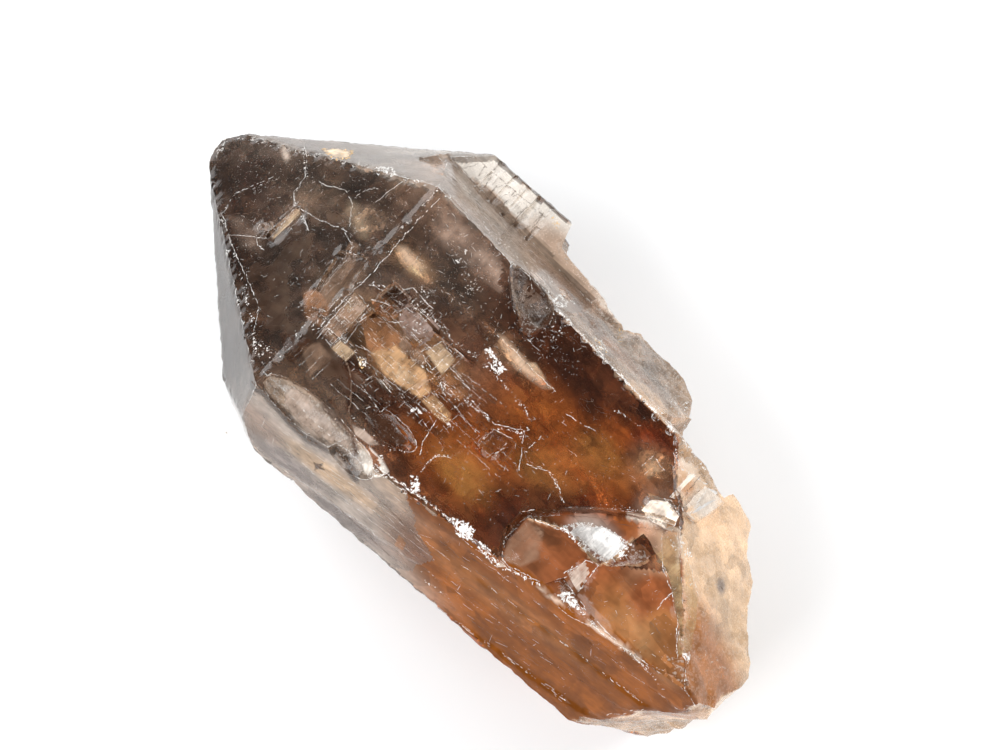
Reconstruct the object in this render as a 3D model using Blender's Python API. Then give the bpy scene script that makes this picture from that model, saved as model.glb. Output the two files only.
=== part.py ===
"""Rough smoky quartz: one broken crystal with smaller crystals grown into its side, lying on a prism face.

Lengths here are in millimetres and measured from the middle of the crystal's long axis. The tip points
to -X, the broken root to +X. STAND carries the crystal from there to its resting place on z = 0.
"""

import math
import random

import bmesh
import bpy
from mathutils import Matrix, Vector, noise

MM = 0.001
STAND = (1.33, 2.19, 30.0)
# Reach of a block before its faces are cut, and how far a panel's cutter stands out of its face.
OUTSIDE = 120.0
PANEL_TOP = 8.0
# Corners of the box that holds every cutter for a broken surface.
BREAK_LOW = (-70.0, -60.0, -45.0)
BREAK_HIGH = (100.0, 60.0, 50.0)

# Growth faces of the main crystal. Each has the angle round the long axis (0 is +Y, 90 is up), the
# lean toward the tip, both in degrees, and the distance from the middle of the axis.
PRISM_FACES = (
    (93.1, -2.6, 28.7),
    (158.4, -9.3, 38.0),
    (33.0, 0.0, 37.3),
    (333.0, 3.0, 27.6),
    (210.1, 0.9, 30.6),
    (270.0, 0.0, 30.0),
)
TIP_FACES = (
    (95.9, 32.9, 39.6),
    (51.0, 33.2, 44.7),
    (154.0, 38.2, 49.0),
    (178.0, 22.0, 46.0),
    (205.0, 32.7, 45.1),
    (338.0, 24.1, 38.8),
    (257.5, 39.6, 54.4),
)
# Faces that broke away at the tip and at the root, as outward direction and distance.
TIP_BREAKS = (
    ((-0.93, -0.36, 0.05), 74.0),
    ((-0.76, 0.64, 0.00), 64.0),
)
ROOT_BREAKS = (
    ((0.98, -0.12, -0.16), 75.5),
    ((0.71, 0.68, -0.15), 50.3),
    ((0.66, -0.75, -0.06), 62.6),
    ((0.50, -0.86, 0.10), 58.5),
    ((0.90, 0.10, -0.43), 70.5),
)

# The side ledge, parallel to the front face, and the prism face that rises from it to the front.
LEDGE = (93.1, -2.6, 10.7)
RISER = (32.3, -3.7, 29.4)

# The crystal broke away outside all the faces of an entry: their outward directions and distances, then
# the roughness left behind as point spacing, depth, grain and the place in the noise.
BREAKS = {
    "flank": ((((0.145, 0.844, 0.515), 31.6), ((0.90, 0.38, -0.22), 2.2)), 5.5, 0.9, 9.0, 11.0),
    "under_flank": ((((0.20, 0.90, -0.39), 22.6), ((0.95, 0.30, -0.05), 2.0)), 7.0, 1.4, 13.0, 5.0),
    "flank_past_bulge": (
        (((0.14, 0.975, 0.17), 24.6), ((0.97, -0.20, 0.12), 31.9), ((-0.97, 0.20, 0.10), -45.2)),
        5.5, 0.5, 9.0, 8.0,
    ),
    "root_corner": ((((0.12, 0.99, -0.05), 22.4), ((0.97, -0.20, -0.10), 42.0)), 5.5, 0.5, 9.0, 13.0),
    "root_slope": ((((0.543, 0.479, 0.689), 46.6),), 5.0, 1.1, 10.0, 21.0),
}
# Roughness of the root's broken end faces, and of the bulge left standing on the flank.
ROOT_SPACING, ROOT_DEPTH, ROOT_GRAIN = 5.0, 1.4, 11.0
FLANK_BULGE = (
    (11.0, 25.5, 13.5), (16.3, 28.7, 12.5), (22.0, 29.0, 11.0), (28.0, 28.6, 9.5),
    (32.2, 26.9, 9.0), (34.4, 24.2, 8.0), (35.0, 18.0, 12.0), (36.0, 14.0, 20.0),
    (17.0, 17.0, 22.0), (20.0, 24.5, -3.0), (33.0, 20.0, -4.0), (12.0, 5.0, 0.0), (38.0, 5.0, 0.0),
)
LEDGE_WEDGE = (
    (-41.0, 24.0, 15.5), (-37.4, 29.2, 14.6), (-22.8, 27.9, 13.4), (-38.0, 26.0, 17.6),
    (-26.0, 26.4, 15.4), (-38.0, 20.0, 8.0), (-37.0, 28.0, 8.0), (-24.0, 24.0, 8.0),
)

# Growth lines across the side ledge: place along the axis, width and depth.
GROWTH_LINES = (
    (-29.2, 1.4, 0.6),
    (-25.0, 0.9, 0.5),
    (-21.4, 0.7, 0.4),
    (-18.4, 1.5, 0.9),
    (-14.6, 0.8, 0.5),
)
LINE_REACH = (27.6, 40.6)
LINE_TURN = 4.0

FRONT, LEFT, _, UNDER_RIGHT, UNDER_LEFT, REST = PRISM_FACES
RHOMB, TIP_UNDER = TIP_FACES[0], TIP_FACES[6]


def face_normal(azimuth, lean):
    """Outward direction of a growth face."""
    around, toward_tip = math.radians(azimuth), math.radians(lean)
    across = math.cos(toward_tip)
    return Vector((-math.sin(toward_tip), across * math.cos(around), across * math.sin(around)))


def face_frame(face):
    """Outward, along-the-axis and sideways directions of a growth face."""
    normal = face_normal(face[0], face[1])
    along = (Vector((1, 0, 0)) - normal * normal.x).normalized()
    return normal, along, normal.cross(along)


def point_on(face, x, across, lift=0.0):
    """Point on a growth face: x along the crystal, then sideways on the face, then out of it."""
    normal, along, side = face_frame(face)
    start = normal * face[2]
    return start + along * ((x - start.x) / along.x) + side * across + normal * lift


def new_object(name, bm):
    """Object made from the bmesh, whose coordinates are in millimetres."""
    bmesh.ops.recalc_face_normals(bm, faces=bm.faces)
    bmesh.ops.scale(bm, vec=(MM, MM, MM), verts=bm.verts)
    mesh = bpy.data.meshes.new(name)
    bm.to_mesh(mesh)
    bm.free()
    made = bpy.data.objects.new(name, mesh)
    bpy.context.scene.collection.objects.link(made)
    made.parent = bpy.data.objects["specimen"]
    return made


def keep_inside(bm, normal, distance):
    """Cut the closed mesh by a plane and close it again with a flat face."""
    direction = Vector(normal).normalized()
    everything = list(bm.verts) + list(bm.edges) + list(bm.faces)
    cut = bmesh.ops.bisect_plane(
        bm, geom=everything, plane_co=direction * distance, plane_no=direction, clear_outer=True
    )
    rim = [part for part in cut["geom_cut"] if isinstance(part, bmesh.types.BMEdge)]
    if rim:
        bmesh.ops.contextual_create(bm, geom=rim)


def block_within(planes):
    """Closed convex block bounded by the planes, each an outward direction and a distance."""
    bm = bmesh.new()
    bmesh.ops.create_cube(bm, size=2 * OUTSIDE)
    for normal, distance in planes:
        keep_inside(bm, normal, distance)
    return bm


def hull_of(corners):
    """Closed convex block with the given corners."""
    bm = bmesh.new()
    for corner in corners:
        bm.verts.new(corner)
    made = bmesh.ops.convex_hull(bm, input=bm.verts)
    unused = [part for part in made["geom_interior"] if isinstance(part, bmesh.types.BMVert)]
    bmesh.ops.delete(bm, geom=unused, context="VERTS")
    return bm


def roughen(bm, spacing, depth, grain, seed):
    """Split the faces to the spacing and push the points in and out like a broken surface."""
    while True:
        long_edges = [edge for edge in bm.edges if edge.calc_length() > spacing]
        if not long_edges:
            break
        bmesh.ops.subdivide_edges(bm, edges=long_edges, cuts=1)
        bmesh.ops.triangulate(bm, faces=bm.faces)
    bm.normal_update()
    pushes = []
    for vert in bm.verts:
        swell = noise.fractal(vert.co / grain + Vector((seed, 0, 0)), 0.7, 2.1, 3)
        pushes.append(vert.normal * swell * depth)
    for vert, push in zip(bm.verts, pushes):
        vert.co += push
    return bm


def roughen_breaks(bm, directions, spacing, depth, grain):
    """Split the broken faces of a block and push their inner points, leaving their rims in place."""
    def broken(face):
        return any(face.normal.dot(Vector(direction).normalized()) > 0.9999 for direction in directions)

    while True:
        bm.normal_update()
        faces = [face for face in bm.faces if broken(face)]
        bmesh.ops.triangulate(bm, faces=faces)
        faces = [face for face in bm.faces if broken(face)]
        long_edges = {edge for face in faces for edge in face.edges if edge.calc_length() > spacing}
        if not long_edges:
            break
        bmesh.ops.subdivide_edges(bm, edges=list(long_edges), cuts=1)
    inner = [vert for vert in bm.verts if all(broken(face) for face in vert.link_faces)]
    pushes = [vert.normal * noise.fractal(vert.co / grain, 0.7, 2.1, 3) * depth for vert in inner]
    for vert, push in zip(inner, pushes):
        vert.co += push


def scoop(centre, radii, turn=0.0, tilt=0.0):
    """Closed ellipsoid for a shell-shaped hollow, turned about Z and tilted about its own length."""
    bm = bmesh.new()
    bmesh.ops.create_icosphere(bm, subdivisions=3, radius=1.0)
    bmesh.ops.scale(bm, vec=radii, verts=bm.verts)
    spun = Matrix.Rotation(math.radians(turn), 4, "Z") @ Matrix.Rotation(math.radians(tilt), 4, "X")
    bmesh.ops.transform(bm, matrix=Matrix.Translation(centre) @ spun, verts=bm.verts)
    return bm


def sunk_panel(face, along, across, depths, turn=0.0):
    """Closed block that sinks a rectangle into a face, with a depth at its tip end and at its root end."""
    middle = Vector((sum(along) / 2, sum(across) / 2))
    spin = Matrix.Rotation(math.radians(turn), 2)
    corners = []
    for x, depth in zip(along, depths):
        for sideways in across:
            place = middle + spin @ (Vector((x, sideways)) - middle)
            corners.append(point_on(face, place.x, place.y, -depth))
            corners.append(point_on(face, place.x, place.y, PANEL_TOP))
    return hull_of(corners)


def change(target, tool_bm, name, operation="DIFFERENCE"):
    """Cut the tool from the target, or join it on. The tool itself stays out of the model."""
    tool = new_object(name, tool_bm)
    tool.hide_render = True
    tool.display_type = "WIRE"
    step = target.modifiers.new(name, "BOOLEAN")
    step.operation = operation
    step.solver = "EXACT"
    step.object = tool


def main_crystal():
    """The six-sided column with its six-sided point, before anything is broken off it."""
    planes = [(face_normal(azimuth, lean), far) for azimuth, lean, far in PRISM_FACES + TIP_FACES]
    planes += TIP_BREAKS + ROOT_BREAKS
    block = block_within(planes)
    roughen_breaks(block, [normal for normal, _ in ROOT_BREAKS], ROOT_SPACING, ROOT_DEPTH, ROOT_GRAIN)
    return new_object("smoky_quartz_crystal", block)


def outer_side(faces):
    """Closed block outside all the faces, as far as the box for broken surfaces."""
    planes = [((-1, 0, 0), -BREAK_LOW[0]), ((0, -1, 0), -BREAK_LOW[1]), ((0, 0, -1), -BREAK_LOW[2])]
    planes += [((1, 0, 0), BREAK_HIGH[0]), ((0, 1, 0), BREAK_HIGH[1]), ((0, 0, 1), BREAK_HIGH[2])]
    planes += [(-Vector(normal), -distance) for normal, distance in faces]
    return block_within(planes)


def step_side(crystal):
    """The long ledge at the upper right, with its growth lines and the wedge at its tip end."""
    above = [(face_normal(azimuth, lean), far) for azimuth, lean, far in (LEDGE, RISER)]
    change(crystal, outer_side(above), "side_ledge")
    for number, (place, width, depth) in enumerate(GROWTH_LINES, 1):
        line = sunk_panel(LEDGE, (place, place + width), LINE_REACH, (depth, depth * 0.4), LINE_TURN)
        change(crystal, line, f"growth_line_{number}")
    change(crystal, hull_of(LEDGE_WEDGE), "ledge_wedge", "UNION")


def break_away(crystal):
    """The rough broken flank and root slope, and the bulge left standing on the flank."""
    for name, (faces, spacing, depth, grain, seed) in BREAKS.items():
        if name == "flank_past_bulge":
            change(crystal, roughen(hull_of(FLANK_BULGE), 5.0, 0.5, 8.0, 3.0), "flank_bulge", "UNION")
        change(crystal, roughen(outer_side(faces), spacing, depth, grain, seed), name)


# Small crystals grown into the front near the root, each a block between its corners.
FIRST_CRYSTAL = (
    (29.3, -16.2, 25.6), (29.8, -24.3, 24.6), (32.6, -27.4, 22.0), (40.0, -24.0, 25.3),
    (45.4, -14.0, 26.7), (36.2, -12.8, 26.6), (33.0, -24.0, 8.0), (46.0, -12.0, 8.0), (31.0, -14.0, 8.0),
)
SECOND_CRYSTAL = (
    (45.2, -13.6, 27.4), (46.8, -3.4, 26.6), (55.2, -5.6, 26.2), (67.0, -14.2, 24.4),
    (74.5, -18.6, 22.4), (60.5, -21.6, 24.6), (46.2, -20.8, 25.4), (44.0, -20.0, 8.0),
    (60.0, -6.0, 8.0), (72.0, -18.0, 4.0), (46.0, -4.0, 8.0),
)
STEP_CRYSTAL = (
    (41.6, -19.8, 25.8), (45.8, -20.4, 24.8), (46.4, -13.4, 27.2), (42.2, -14.6, 27.2),
    (42.0, -18.0, 12.0), (48.0, -16.0, 12.0),
)
CORNER_CRYSTAL = (
    (42.6, -1.0, 26.6), (42.4, 2.4, 27.7), (46.4, 4.4, 28.0), (49.8, 3.4, 26.6),
    (50.0, 0.8, 24.8), (46.2, -0.6, 25.4), (44.0, 0.0, 14.0), (49.0, 3.0, 14.0),
)
EDGE_CRYSTAL = (
    (48.4, 11.6, 25.4), (52.6, 12.8, 21.4), (52.0, 5.4, 24.4), (48.8, 4.8, 26.9),
    (46.0, 8.0, 12.0), (52.0, 10.0, 8.0), (50.0, 5.0, 10.0),
)


SIDE_CRYSTALS = {
    "first_small_crystal": FIRST_CRYSTAL,
    "second_small_crystal": SECOND_CRYSTAL,
    "step_between_crystals": STEP_CRYSTAL,
    "corner_crystal": CORNER_CRYSTAL,
    "edge_crystal": EDGE_CRYSTAL,
}
# Floor and open top of the hollow that they stand in.
SIDE_HOLLOW = (
    (28.2, -16.4, 23.6), (33.5, -10.4, 23.4), (38.0, -5.6, 23.0), (45.8, -0.2, 23.4), (50.8, 1.8, 23.0),
    (60.0, -8.0, 23.0), (71.0, -17.5, 24.2), (60.5, -21.4, 24.9), (45.6, -22.6, 25.3), (31.4, -26.6, 25.7),
    (28.0, -17.0, 31.0), (33.0, -10.0, 31.0), (38.0, -5.0, 31.0), (46.0, 0.4, 31.0), (51.0, 2.2, 31.0),
    (60.0, -8.0, 31.0), (71.0, -17.0, 31.0), (60.0, -24.0, 31.0), (28.0, -29.0, 31.0),
)
FROST_CENTRE, FROST_RADII, FROST_TURN = (46.5, -9.2, 27.4), (6.6, 2.7, 2.3), 40.0


def grow_side_crystals(crystal):
    """A hollow in the front near the root, with the small crystals that stand in it."""
    change(crystal, roughen(hull_of(SIDE_HOLLOW), 5.0, 0.35, 6.0, 31.0), "side_hollow")
    for name, corners in SIDE_CRYSTALS.items():
        change(crystal, hull_of(corners), name, "UNION")
    frost = scoop(FROST_CENTRE, FROST_RADII, FROST_TURN)
    change(crystal, roughen(frost, 2.0, 0.8, 2.4, 7.0), "frosted_hollow")


# Panels sunk in the growth faces: the face, the run along the axis and the run across it, the depth at
# the tip end and at the root end, and the turn in degrees.
PANELS = {
    "window_lined": (FRONT, (-26.6, -18.2), (-14.5, -7.7), (0.5, 1.3), 0.0),
    "window_large": (FRONT, (-19.6, -3.4), (-15.1, -6.5), (2.2, 1.2), -7.0),
    "window_upper": (FRONT, (-17.6, -8.6), (-7.1, -1.5), (1.5, 0.9), -4.0),
    "window_deep": (FRONT, (-20.6, -15.8), (-4.1, -0.3), (2.6, 1.9), 0.0),
    "window_middle": (FRONT, (-8.6, 2.0), (-7.9, -1.7), (1.8, 0.8), 4.0),
    "window_long": (FRONT, (-3.6, 12.0), (-15.9, -9.5), (1.1, 0.3), -6.0),
    "window_left": (FRONT, (-10.0, -3.6), (-19.5, -14.1), (0.8, 1.5), -10.0),
    "window_speckled": (FRONT, (6.0, 10.6), (9.4, 13.6), (0.5, 0.7), 0.0),
    "window_square": (FRONT, (13.0, 17.0), (-11.8, -7.9), (0.6, 0.4), 4.0),
    "point_bar": (RHOMB, (-32.4, -25.4), (-12.7, 0.3), (0.9, 0.5), 18.0),
    "point_wedge": (RHOMB, (-51.0, -47.8), (-7.8, 1.0), (1.3, 0.1), -3.0),
    "left_step": (LEFT, (-16.0, 90.0), (-12.0, -3.6), (0.3, 1.1), 1.5),
    "left_step_root": (LEFT, (22.0, 90.0), (4.0, 9.4), (0.2, 0.9), -2.0),
    "under_left_line_1": (UNDER_LEFT, (-31.0, -28.4), (-20.0, 13.0), (0.5, 0.2), 1.0),
    "under_left_line_2": (UNDER_LEFT, (-23.5, -22.2), (-30.0, 10.0), (0.4, 0.2), 0.0),
    "under_left_line_3": (UNDER_LEFT, (-12.0, -8.6), (-14.0, 30.0), (0.6, 0.2), -1.0),
    "under_left_step": (UNDER_LEFT, (14.0, 120.0), (-40.0, 4.0), (0.8, 1.4), 0.0),
    "under_left_step_root": (UNDER_LEFT, (37.0, 120.0), (-3.0, 40.0), (0.5, 1.2), 0.0),
    "under_right_line": (UNDER_RIGHT, (-34.0, -31.0), (-24.0, 20.0), (0.6, 0.3), 0.0),
    "rest_step": (REST, (36.0, 120.0), (-40.0, 40.0), (0.9, 1.8), 5.0),
    "tip_under_step": (TIP_UNDER, (-80.0, -62.0), (-3.0, 20.0), (0.8, 0.4), 12.0),
}


def sink_panels(crystal):
    """Growth windows, growth lines and ledges sunk in the flat faces."""
    for name, (face, along, across, depths, turn) in PANELS.items():
        change(crystal, sunk_panel(face, along, across, depths, turn), name)


# Shell-shaped hollows: middle, half sizes, turn about Z and tilt about the hollow's length.
SCOOPS = {
    "shell_pit": ((-0.6, 15.2, 30.6), (8.6, 4.4, 4.6), -38.0, 12.0),
    "shell_pit_floor": ((2.6, 11.6, 30.4), (5.4, 3.0, 3.3), -50.0, 0.0),
    "left_shell": ((-12.0, -31.4, 27.6), (12.5, 3.6, 3.6), 3.0, -28.0),
    "left_shell_end": ((-1.4, -32.2, 25.6), (5.4, 3.6, 4.4), -8.0, -40.0),
    "front_lens": ((0.2, -22.6, 28.9), (7.2, 2.8, 2.6), 4.0, 0.0),
    "left_slit": ((10.6, -31.4, 24.4), (7.4, 0.9, 2.6), 8.0, -30.0),
    "point_pit": ((-53.4, -7.6, 12.6), (2.6, 1.3, 1.6), 30.0, 0.0),
    "edge_bite": ((8.6, 18.4, 30.6), (5.0, 1.7, 1.8), -8.0, 30.0),
    "left_edge_bite": ((27.6, -28.4, 26.0), (6.6, 2.3, 2.4), 4.0, -30.0),
    "lower_edge_bite": ((47.0, -23.2, 25.6), (5.0, 1.8, 2.2), 12.0, -30.0),
    "root_shell": ((76.5, -12.0, -14.0), (6.0, 12.0, 9.0), 12.0, 20.0),
    "root_shell_low": ((70.0, 8.0, -26.0), (9.0, 8.0, 7.0), 30.0, 0.0),
    "under_shell": ((-40.0, -22.0, -17.0), (9.0, 3.4, 4.6), 35.0, 30.0),
}


def scoop_shells(crystal):
    """Shell-shaped breaks on the front, along the edges and at the tip."""
    for name, (centre, radii, turn, tilt) in SCOOPS.items():
        change(crystal, scoop(centre, radii, turn, tilt), name)


# Ends of the chipped edges, how many chips each has and how deep the largest is.
CHIPPED_EDGES = (
    ((-27.0, 18.4, 30.9), (48.0, 13.0, 27.2), 22, 0.9),
    ((-22.0, -34.6, 28.0), (70.0, -20.9, 24.5), 24, 1.0),
    ((-28.4, 14.0, 30.8), (-25.0, -33.0, 28.2), 12, 0.6),
    ((-76.3, 7.0, -1.3), (-29.0, 17.2, 30.4), 16, 0.8),
    ((-74.0, -5.1, -1.5), (-27.0, -33.0, 26.4), 14, 0.7),
)


def chip_edges(crystal):
    """Rows of small chips along the worn edges, as one cutter."""
    draw = random.Random(4)
    chips = bmesh.new()
    for start, end, count, depth in CHIPPED_EDGES:
        run = Vector(end) - Vector(start)
        for number in range(count):
            place = Vector(start) + run * ((number + draw.uniform(0.2, 0.8)) / count)
            size = depth * draw.uniform(0.45, 1.0)
            made = bmesh.ops.create_icosphere(chips, subdivisions=1, radius=size)["verts"]
            bmesh.ops.scale(chips, vec=(draw.uniform(1.0, 1.7), 1.0, 1.0), verts=made)
            spin = Matrix.Rotation(draw.uniform(0, math.pi), 4, draw.choice("XYZ"))
            bmesh.ops.transform(chips, matrix=Matrix.Translation(place) @ spin, verts=made)
    change(crystal, chips, "edge_chips")


def smoky_material():
    """See-through grey-brown quartz."""
    material = bpy.data.materials.new("smoky_quartz")
    material.use_nodes = True
    shader = material.node_tree.nodes["Principled BSDF"]
    shader.inputs["Base Color"].default_value = (0.34, 0.23, 0.15, 1.0)
    shader.inputs["Roughness"].default_value = 0.08
    shader.inputs["Metallic"].default_value = 0.0
    shader.inputs["IOR"].default_value = 1.544
    shader.inputs["Transmission Weight"].default_value = 0.9
    return material


def build():
    """Clear the scene, then make the crystal."""
    for old in list(bpy.data.objects):
        bpy.data.objects.remove(old, do_unlink=True)
    specimen = bpy.data.objects.new("specimen", None)
    bpy.context.scene.collection.objects.link(specimen)
    specimen.location = Vector(STAND) * MM
    crystal = main_crystal()
    crystal.data.materials.append(smoky_material())
    step_side(crystal)
    break_away(crystal)
    grow_side_crystals(crystal)
    sink_panels(crystal)
    scoop_shells(crystal)
    chip_edges(crystal)


build()
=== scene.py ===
"""Rough smoky quartz: the finished look of one crystal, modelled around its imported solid.

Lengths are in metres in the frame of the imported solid: the point looks to -X, the broken root to +X,
and the crystal lies on z = 0. Marks on the crystal are given where the camera sees them, in pixels of a
1000 x 750 picture, and each is then set on the surface that lies there.
"""

import math

import bmesh
import bpy
import numpy as np
from bpy.props import FloatProperty, FloatVectorProperty, IntProperty, PointerProperty
from mathutils import Matrix, Vector, noise
from mathutils.bvhtree import BVHTree
from mathutils.geometry import intersect_point_line
from mathutils.kdtree import KDTree


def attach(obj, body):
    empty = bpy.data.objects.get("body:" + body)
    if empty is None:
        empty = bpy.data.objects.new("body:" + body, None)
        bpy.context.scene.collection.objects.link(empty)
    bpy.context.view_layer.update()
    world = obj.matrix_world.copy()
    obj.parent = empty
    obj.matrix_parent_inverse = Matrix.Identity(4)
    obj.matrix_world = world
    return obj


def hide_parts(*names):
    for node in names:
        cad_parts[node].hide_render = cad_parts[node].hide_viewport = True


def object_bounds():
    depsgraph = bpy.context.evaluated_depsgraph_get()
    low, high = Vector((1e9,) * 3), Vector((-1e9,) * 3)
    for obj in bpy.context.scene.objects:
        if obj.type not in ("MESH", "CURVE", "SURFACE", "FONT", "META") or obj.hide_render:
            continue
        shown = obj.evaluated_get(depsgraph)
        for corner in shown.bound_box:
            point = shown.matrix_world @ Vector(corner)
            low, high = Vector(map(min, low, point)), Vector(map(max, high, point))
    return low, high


bl_info = {
    "name": "Rough Smoky Quartz",
    "version": (1, 0, 0),
    "blender": (4, 5, 0),
    "location": "View3D > Sidebar > Quartz",
    "description": "Models a rough smoky quartz crystal around its packed solid",
    "category": "Object",
}

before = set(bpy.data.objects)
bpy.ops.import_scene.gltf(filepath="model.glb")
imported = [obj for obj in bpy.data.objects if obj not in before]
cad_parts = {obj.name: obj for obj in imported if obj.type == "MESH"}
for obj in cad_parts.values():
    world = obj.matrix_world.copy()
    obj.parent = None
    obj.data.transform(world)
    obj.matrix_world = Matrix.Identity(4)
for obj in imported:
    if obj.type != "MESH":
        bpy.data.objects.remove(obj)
SOLID_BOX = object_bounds()
SOLID = "smoky_quartz_crystal"

MM = 0.001
PICTURE_WIDTH, PICTURE_HEIGHT = 1000, 750
SENSOR = 36.0
# Where the camera looks, in millimetres.
AIM = (1.33, 8.19, 32.0)
# How far lines and scratches stand over the surface, so that they show on the panels too.
LIFT = 0.03 * MM
PANEL_LIFT = 0.035 * MM
# Points of the solid nearer than this are one, faces that differ by less than this angle are one side, and
# an edge is sharp where its faces differ by more than the other.
MERGE = 1e-6
SAME_SIDE = math.radians(0.6)
SHARP = math.radians(24)
# Areas of the solid's faces in square millimetres: of a large side, of a facet and of a chip.
SIDE_AREA = 200.0
FACET_AREA = 14.0
CHIP_AREA = 2.5
# How far a sight line that slips past a rim is moved to the side, in pixels.
SLIPS = (0.0, 0.4, -0.4, 1.0, -1.0, 2.0, -2.0, 3.5, -3.5)
# Seeds of the random draws, and of the shapes of the grains that are copied.
BRUISE_DRAW, SCRATCH_DRAW, SPECK_DRAW = 11, 23, 37
GRAINS, STAIN_GRAINS, SEAM_GRAINS, SLIVERS, SPECKS = (1, 2, 3, 4), (5, 6, 7), (14, 15), (8, 9), (12, 13)

# The crystal's length.
ALONG = Vector((1, 0, 0))
# Directions of the growth faces that are told apart by their finish.
LONG_SIDE = (0.16, -0.92, 0.36)
POINT_SIDE = (-0.62, -0.71, 0.34)
POINT_TOP = (-0.55, 0.53, 0.65)
RISER = (0.06, 0.84, 0.53)
# A place on the long side, in millimetres.
ON_LONG_SIDE = (35.3, -23.8, 53.8)

# Parts with a finish of their own, as boxes round the middles of their faces in millimetres: the lowest and
# the highest x, y and z.
FAR = 1000.0
ROOT_END = ((52, -FAR, 30), (FAR, FAR, FAR))
CORNER_FACETS = ((43, -1, 49.5), (56, 15, FAR))
SMALL_FACETS = ((28, -24, 49), (67, 15, FAR))
LONG_STEPS = ((-FAR, -FAR, -FAR), (FAR, -18, 54))
SMALL_CRYSTALS = ((29, -FAR, -FAR), (FAR, -8, FAR))
LEDGE_TOP = ((-FAR, 22, -FAR), (FAR, FAR, FAR))


class CrystalSettings(bpy.types.PropertyGroup):
    """Sizes and colours of the crystal's surface"""

    cell: FloatProperty(
        name="Cell", description="Spacing of the points on the surface", default=0.64 * MM, subtype="DISTANCE"
    )
    waviness: FloatProperty(
        name="Waviness", description="Depth of the slow waves in the growth faces", default=0.07 * MM,
        subtype="DISTANCE",
    )
    breakage: FloatProperty(
        name="Breakage", description="Depth of the relief on the broken faces", default=1.1 * MM,
        subtype="DISTANCE",
    )
    wear: FloatProperty(
        name="Wear", description="Depth of the wear along the edges", default=0.38 * MM, subtype="DISTANCE"
    )
    smoke: FloatVectorProperty(
        name="Smoke", description="Colour that light keeps on its way through the quartz",
        default=(0.80, 0.69, 0.58), subtype="COLOR", size=3,
    )
    density: FloatProperty(
        name="Density", description="How fast the quartz darkens, per metre", default=30.0
    )
    ior: FloatProperty(name="IOR", description="Refraction of quartz", default=1.544)


class MarksSettings(bpy.types.PropertyGroup):
    """Sizes and colours of the white bruises, scratches and stains"""

    bruise: FloatProperty(
        name="Bruise", description="Largest size of a bruised grain", default=0.42 * MM, subtype="DISTANCE"
    )
    # White is also the colour of the painted highlights of the steps.
    white: FloatVectorProperty(
        name="White", description="Colour of bruised quartz", default=(0.97, 0.95, 0.92), subtype="COLOR",
        size=3,
    )
    rust: FloatVectorProperty(
        name="Rust", description="Colour of the iron stains", default=(0.86, 0.56, 0.24), subtype="COLOR",
        size=3,
    )
    # The seam colour also paints the shade in the grooves, along rims and in the hollow.
    seam: FloatVectorProperty(
        name="Seam", description="Colour of the dark seams", default=(0.13, 0.075, 0.045), subtype="COLOR",
        size=3,
    )
    line: FloatProperty(
        name="Line", description="Half width of a thin crack", default=0.065 * MM, subtype="DISTANCE"
    )
    scratches: IntProperty(name="Scratches", description="Scratches on the upper faces", default=1800)


class InsideSettings(bpy.types.PropertyGroup):
    """Veils, cracks and specks inside the quartz"""

    veil_cover: FloatProperty(
        name="Veil cover", description="Share of light that the thickest veil stops", default=0.55,
        subtype="FACTOR",
    )
    specks: IntProperty(name="Specks", description="Specks inside the quartz", default=260)


class StageSettings(bpy.types.PropertyGroup):
    """Floor, light and camera"""

    azimuth: FloatProperty(
        name="Azimuth", description="Angle of the camera round the crystal", default=math.radians(45.0),
        subtype="ANGLE",
    )
    elevation: FloatProperty(
        name="Elevation", description="Angle of the camera above the floor", default=math.radians(70.0),
        subtype="ANGLE",
    )
    distance: FloatProperty(
        name="Distance", description="From the camera to the crystal", default=0.45, subtype="DISTANCE"
    )
    lens: FloatProperty(name="Lens", description="Focal length in millimetres", default=81.0)
    floor: FloatVectorProperty(
        name="Floor", description="Colour of the floor", default=(0.94, 0.95, 0.96), subtype="COLOR", size=3
    )


def only(obj):
    """Select this object alone and make it the active one."""
    bpy.ops.object.select_all(action="DESELECT")
    obj.select_set(True)
    bpy.context.view_layer.objects.active = obj


def added(name, primitive, **values):
    """Add a primitive with nothing else selected, and name it."""
    bpy.ops.object.select_all(action="DESELECT")
    primitive(**values)
    made = bpy.context.active_object
    made.name = name
    return made


def in_edit_mode(obj, *steps):
    """Run the steps on everything in the object's mesh, each an operator and its values."""
    only(obj)
    bpy.ops.object.mode_set(mode="EDIT")
    bpy.ops.mesh.select_all(action="SELECT")
    for operator, values in steps:
        operator(**values)
    bpy.ops.object.mode_set(mode="OBJECT")


def modify(obj, kind, **values):
    """Add a modifier with these values and apply it."""
    only(obj)
    made = obj.modifiers.new(kind.title(), kind)
    for name, value in values.items():
        setattr(made, name, value)
    bpy.ops.object.modifier_apply(modifier=made.name)


def push(obj, name, size, depth, group="", middle=0.5, contrast=1.0):
    """Push the surface in and out by clouds of this size and depth, where the vertex group says."""
    pattern = bpy.data.textures.new(name, "CLOUDS")
    pattern.noise_scale = size
    pattern.contrast = contrast
    modify(
        obj, "DISPLACE", texture=pattern, texture_coords="LOCAL", strength=depth, mid_level=middle,
        vertex_group=group,
    )


def finish_piece(obj):
    """Let the piece ride on the crystal's body."""
    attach(obj, "root")


def points_of(mesh):
    """The mesh's points as rows of an array."""
    flat = np.empty(len(mesh.vertices) * 3)
    mesh.vertices.foreach_get("co", flat)
    return flat.reshape(-1, 3)


def set_group(obj, name, weights):
    """Vertex group with the weights, in the order of the points."""
    group = obj.vertex_groups.new(name=name)
    for index, weight in enumerate(weights):
        if weight > 0.0:
            group.add((index,), float(weight), "REPLACE")


def ramp(values, low, high):
    """Smooth rise from 0 at low to 1 at high."""
    share = np.clip((values - low) / (high - low), 0.0, 1.0)
    return share * share * (3.0 - 2.0 * share)


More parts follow.
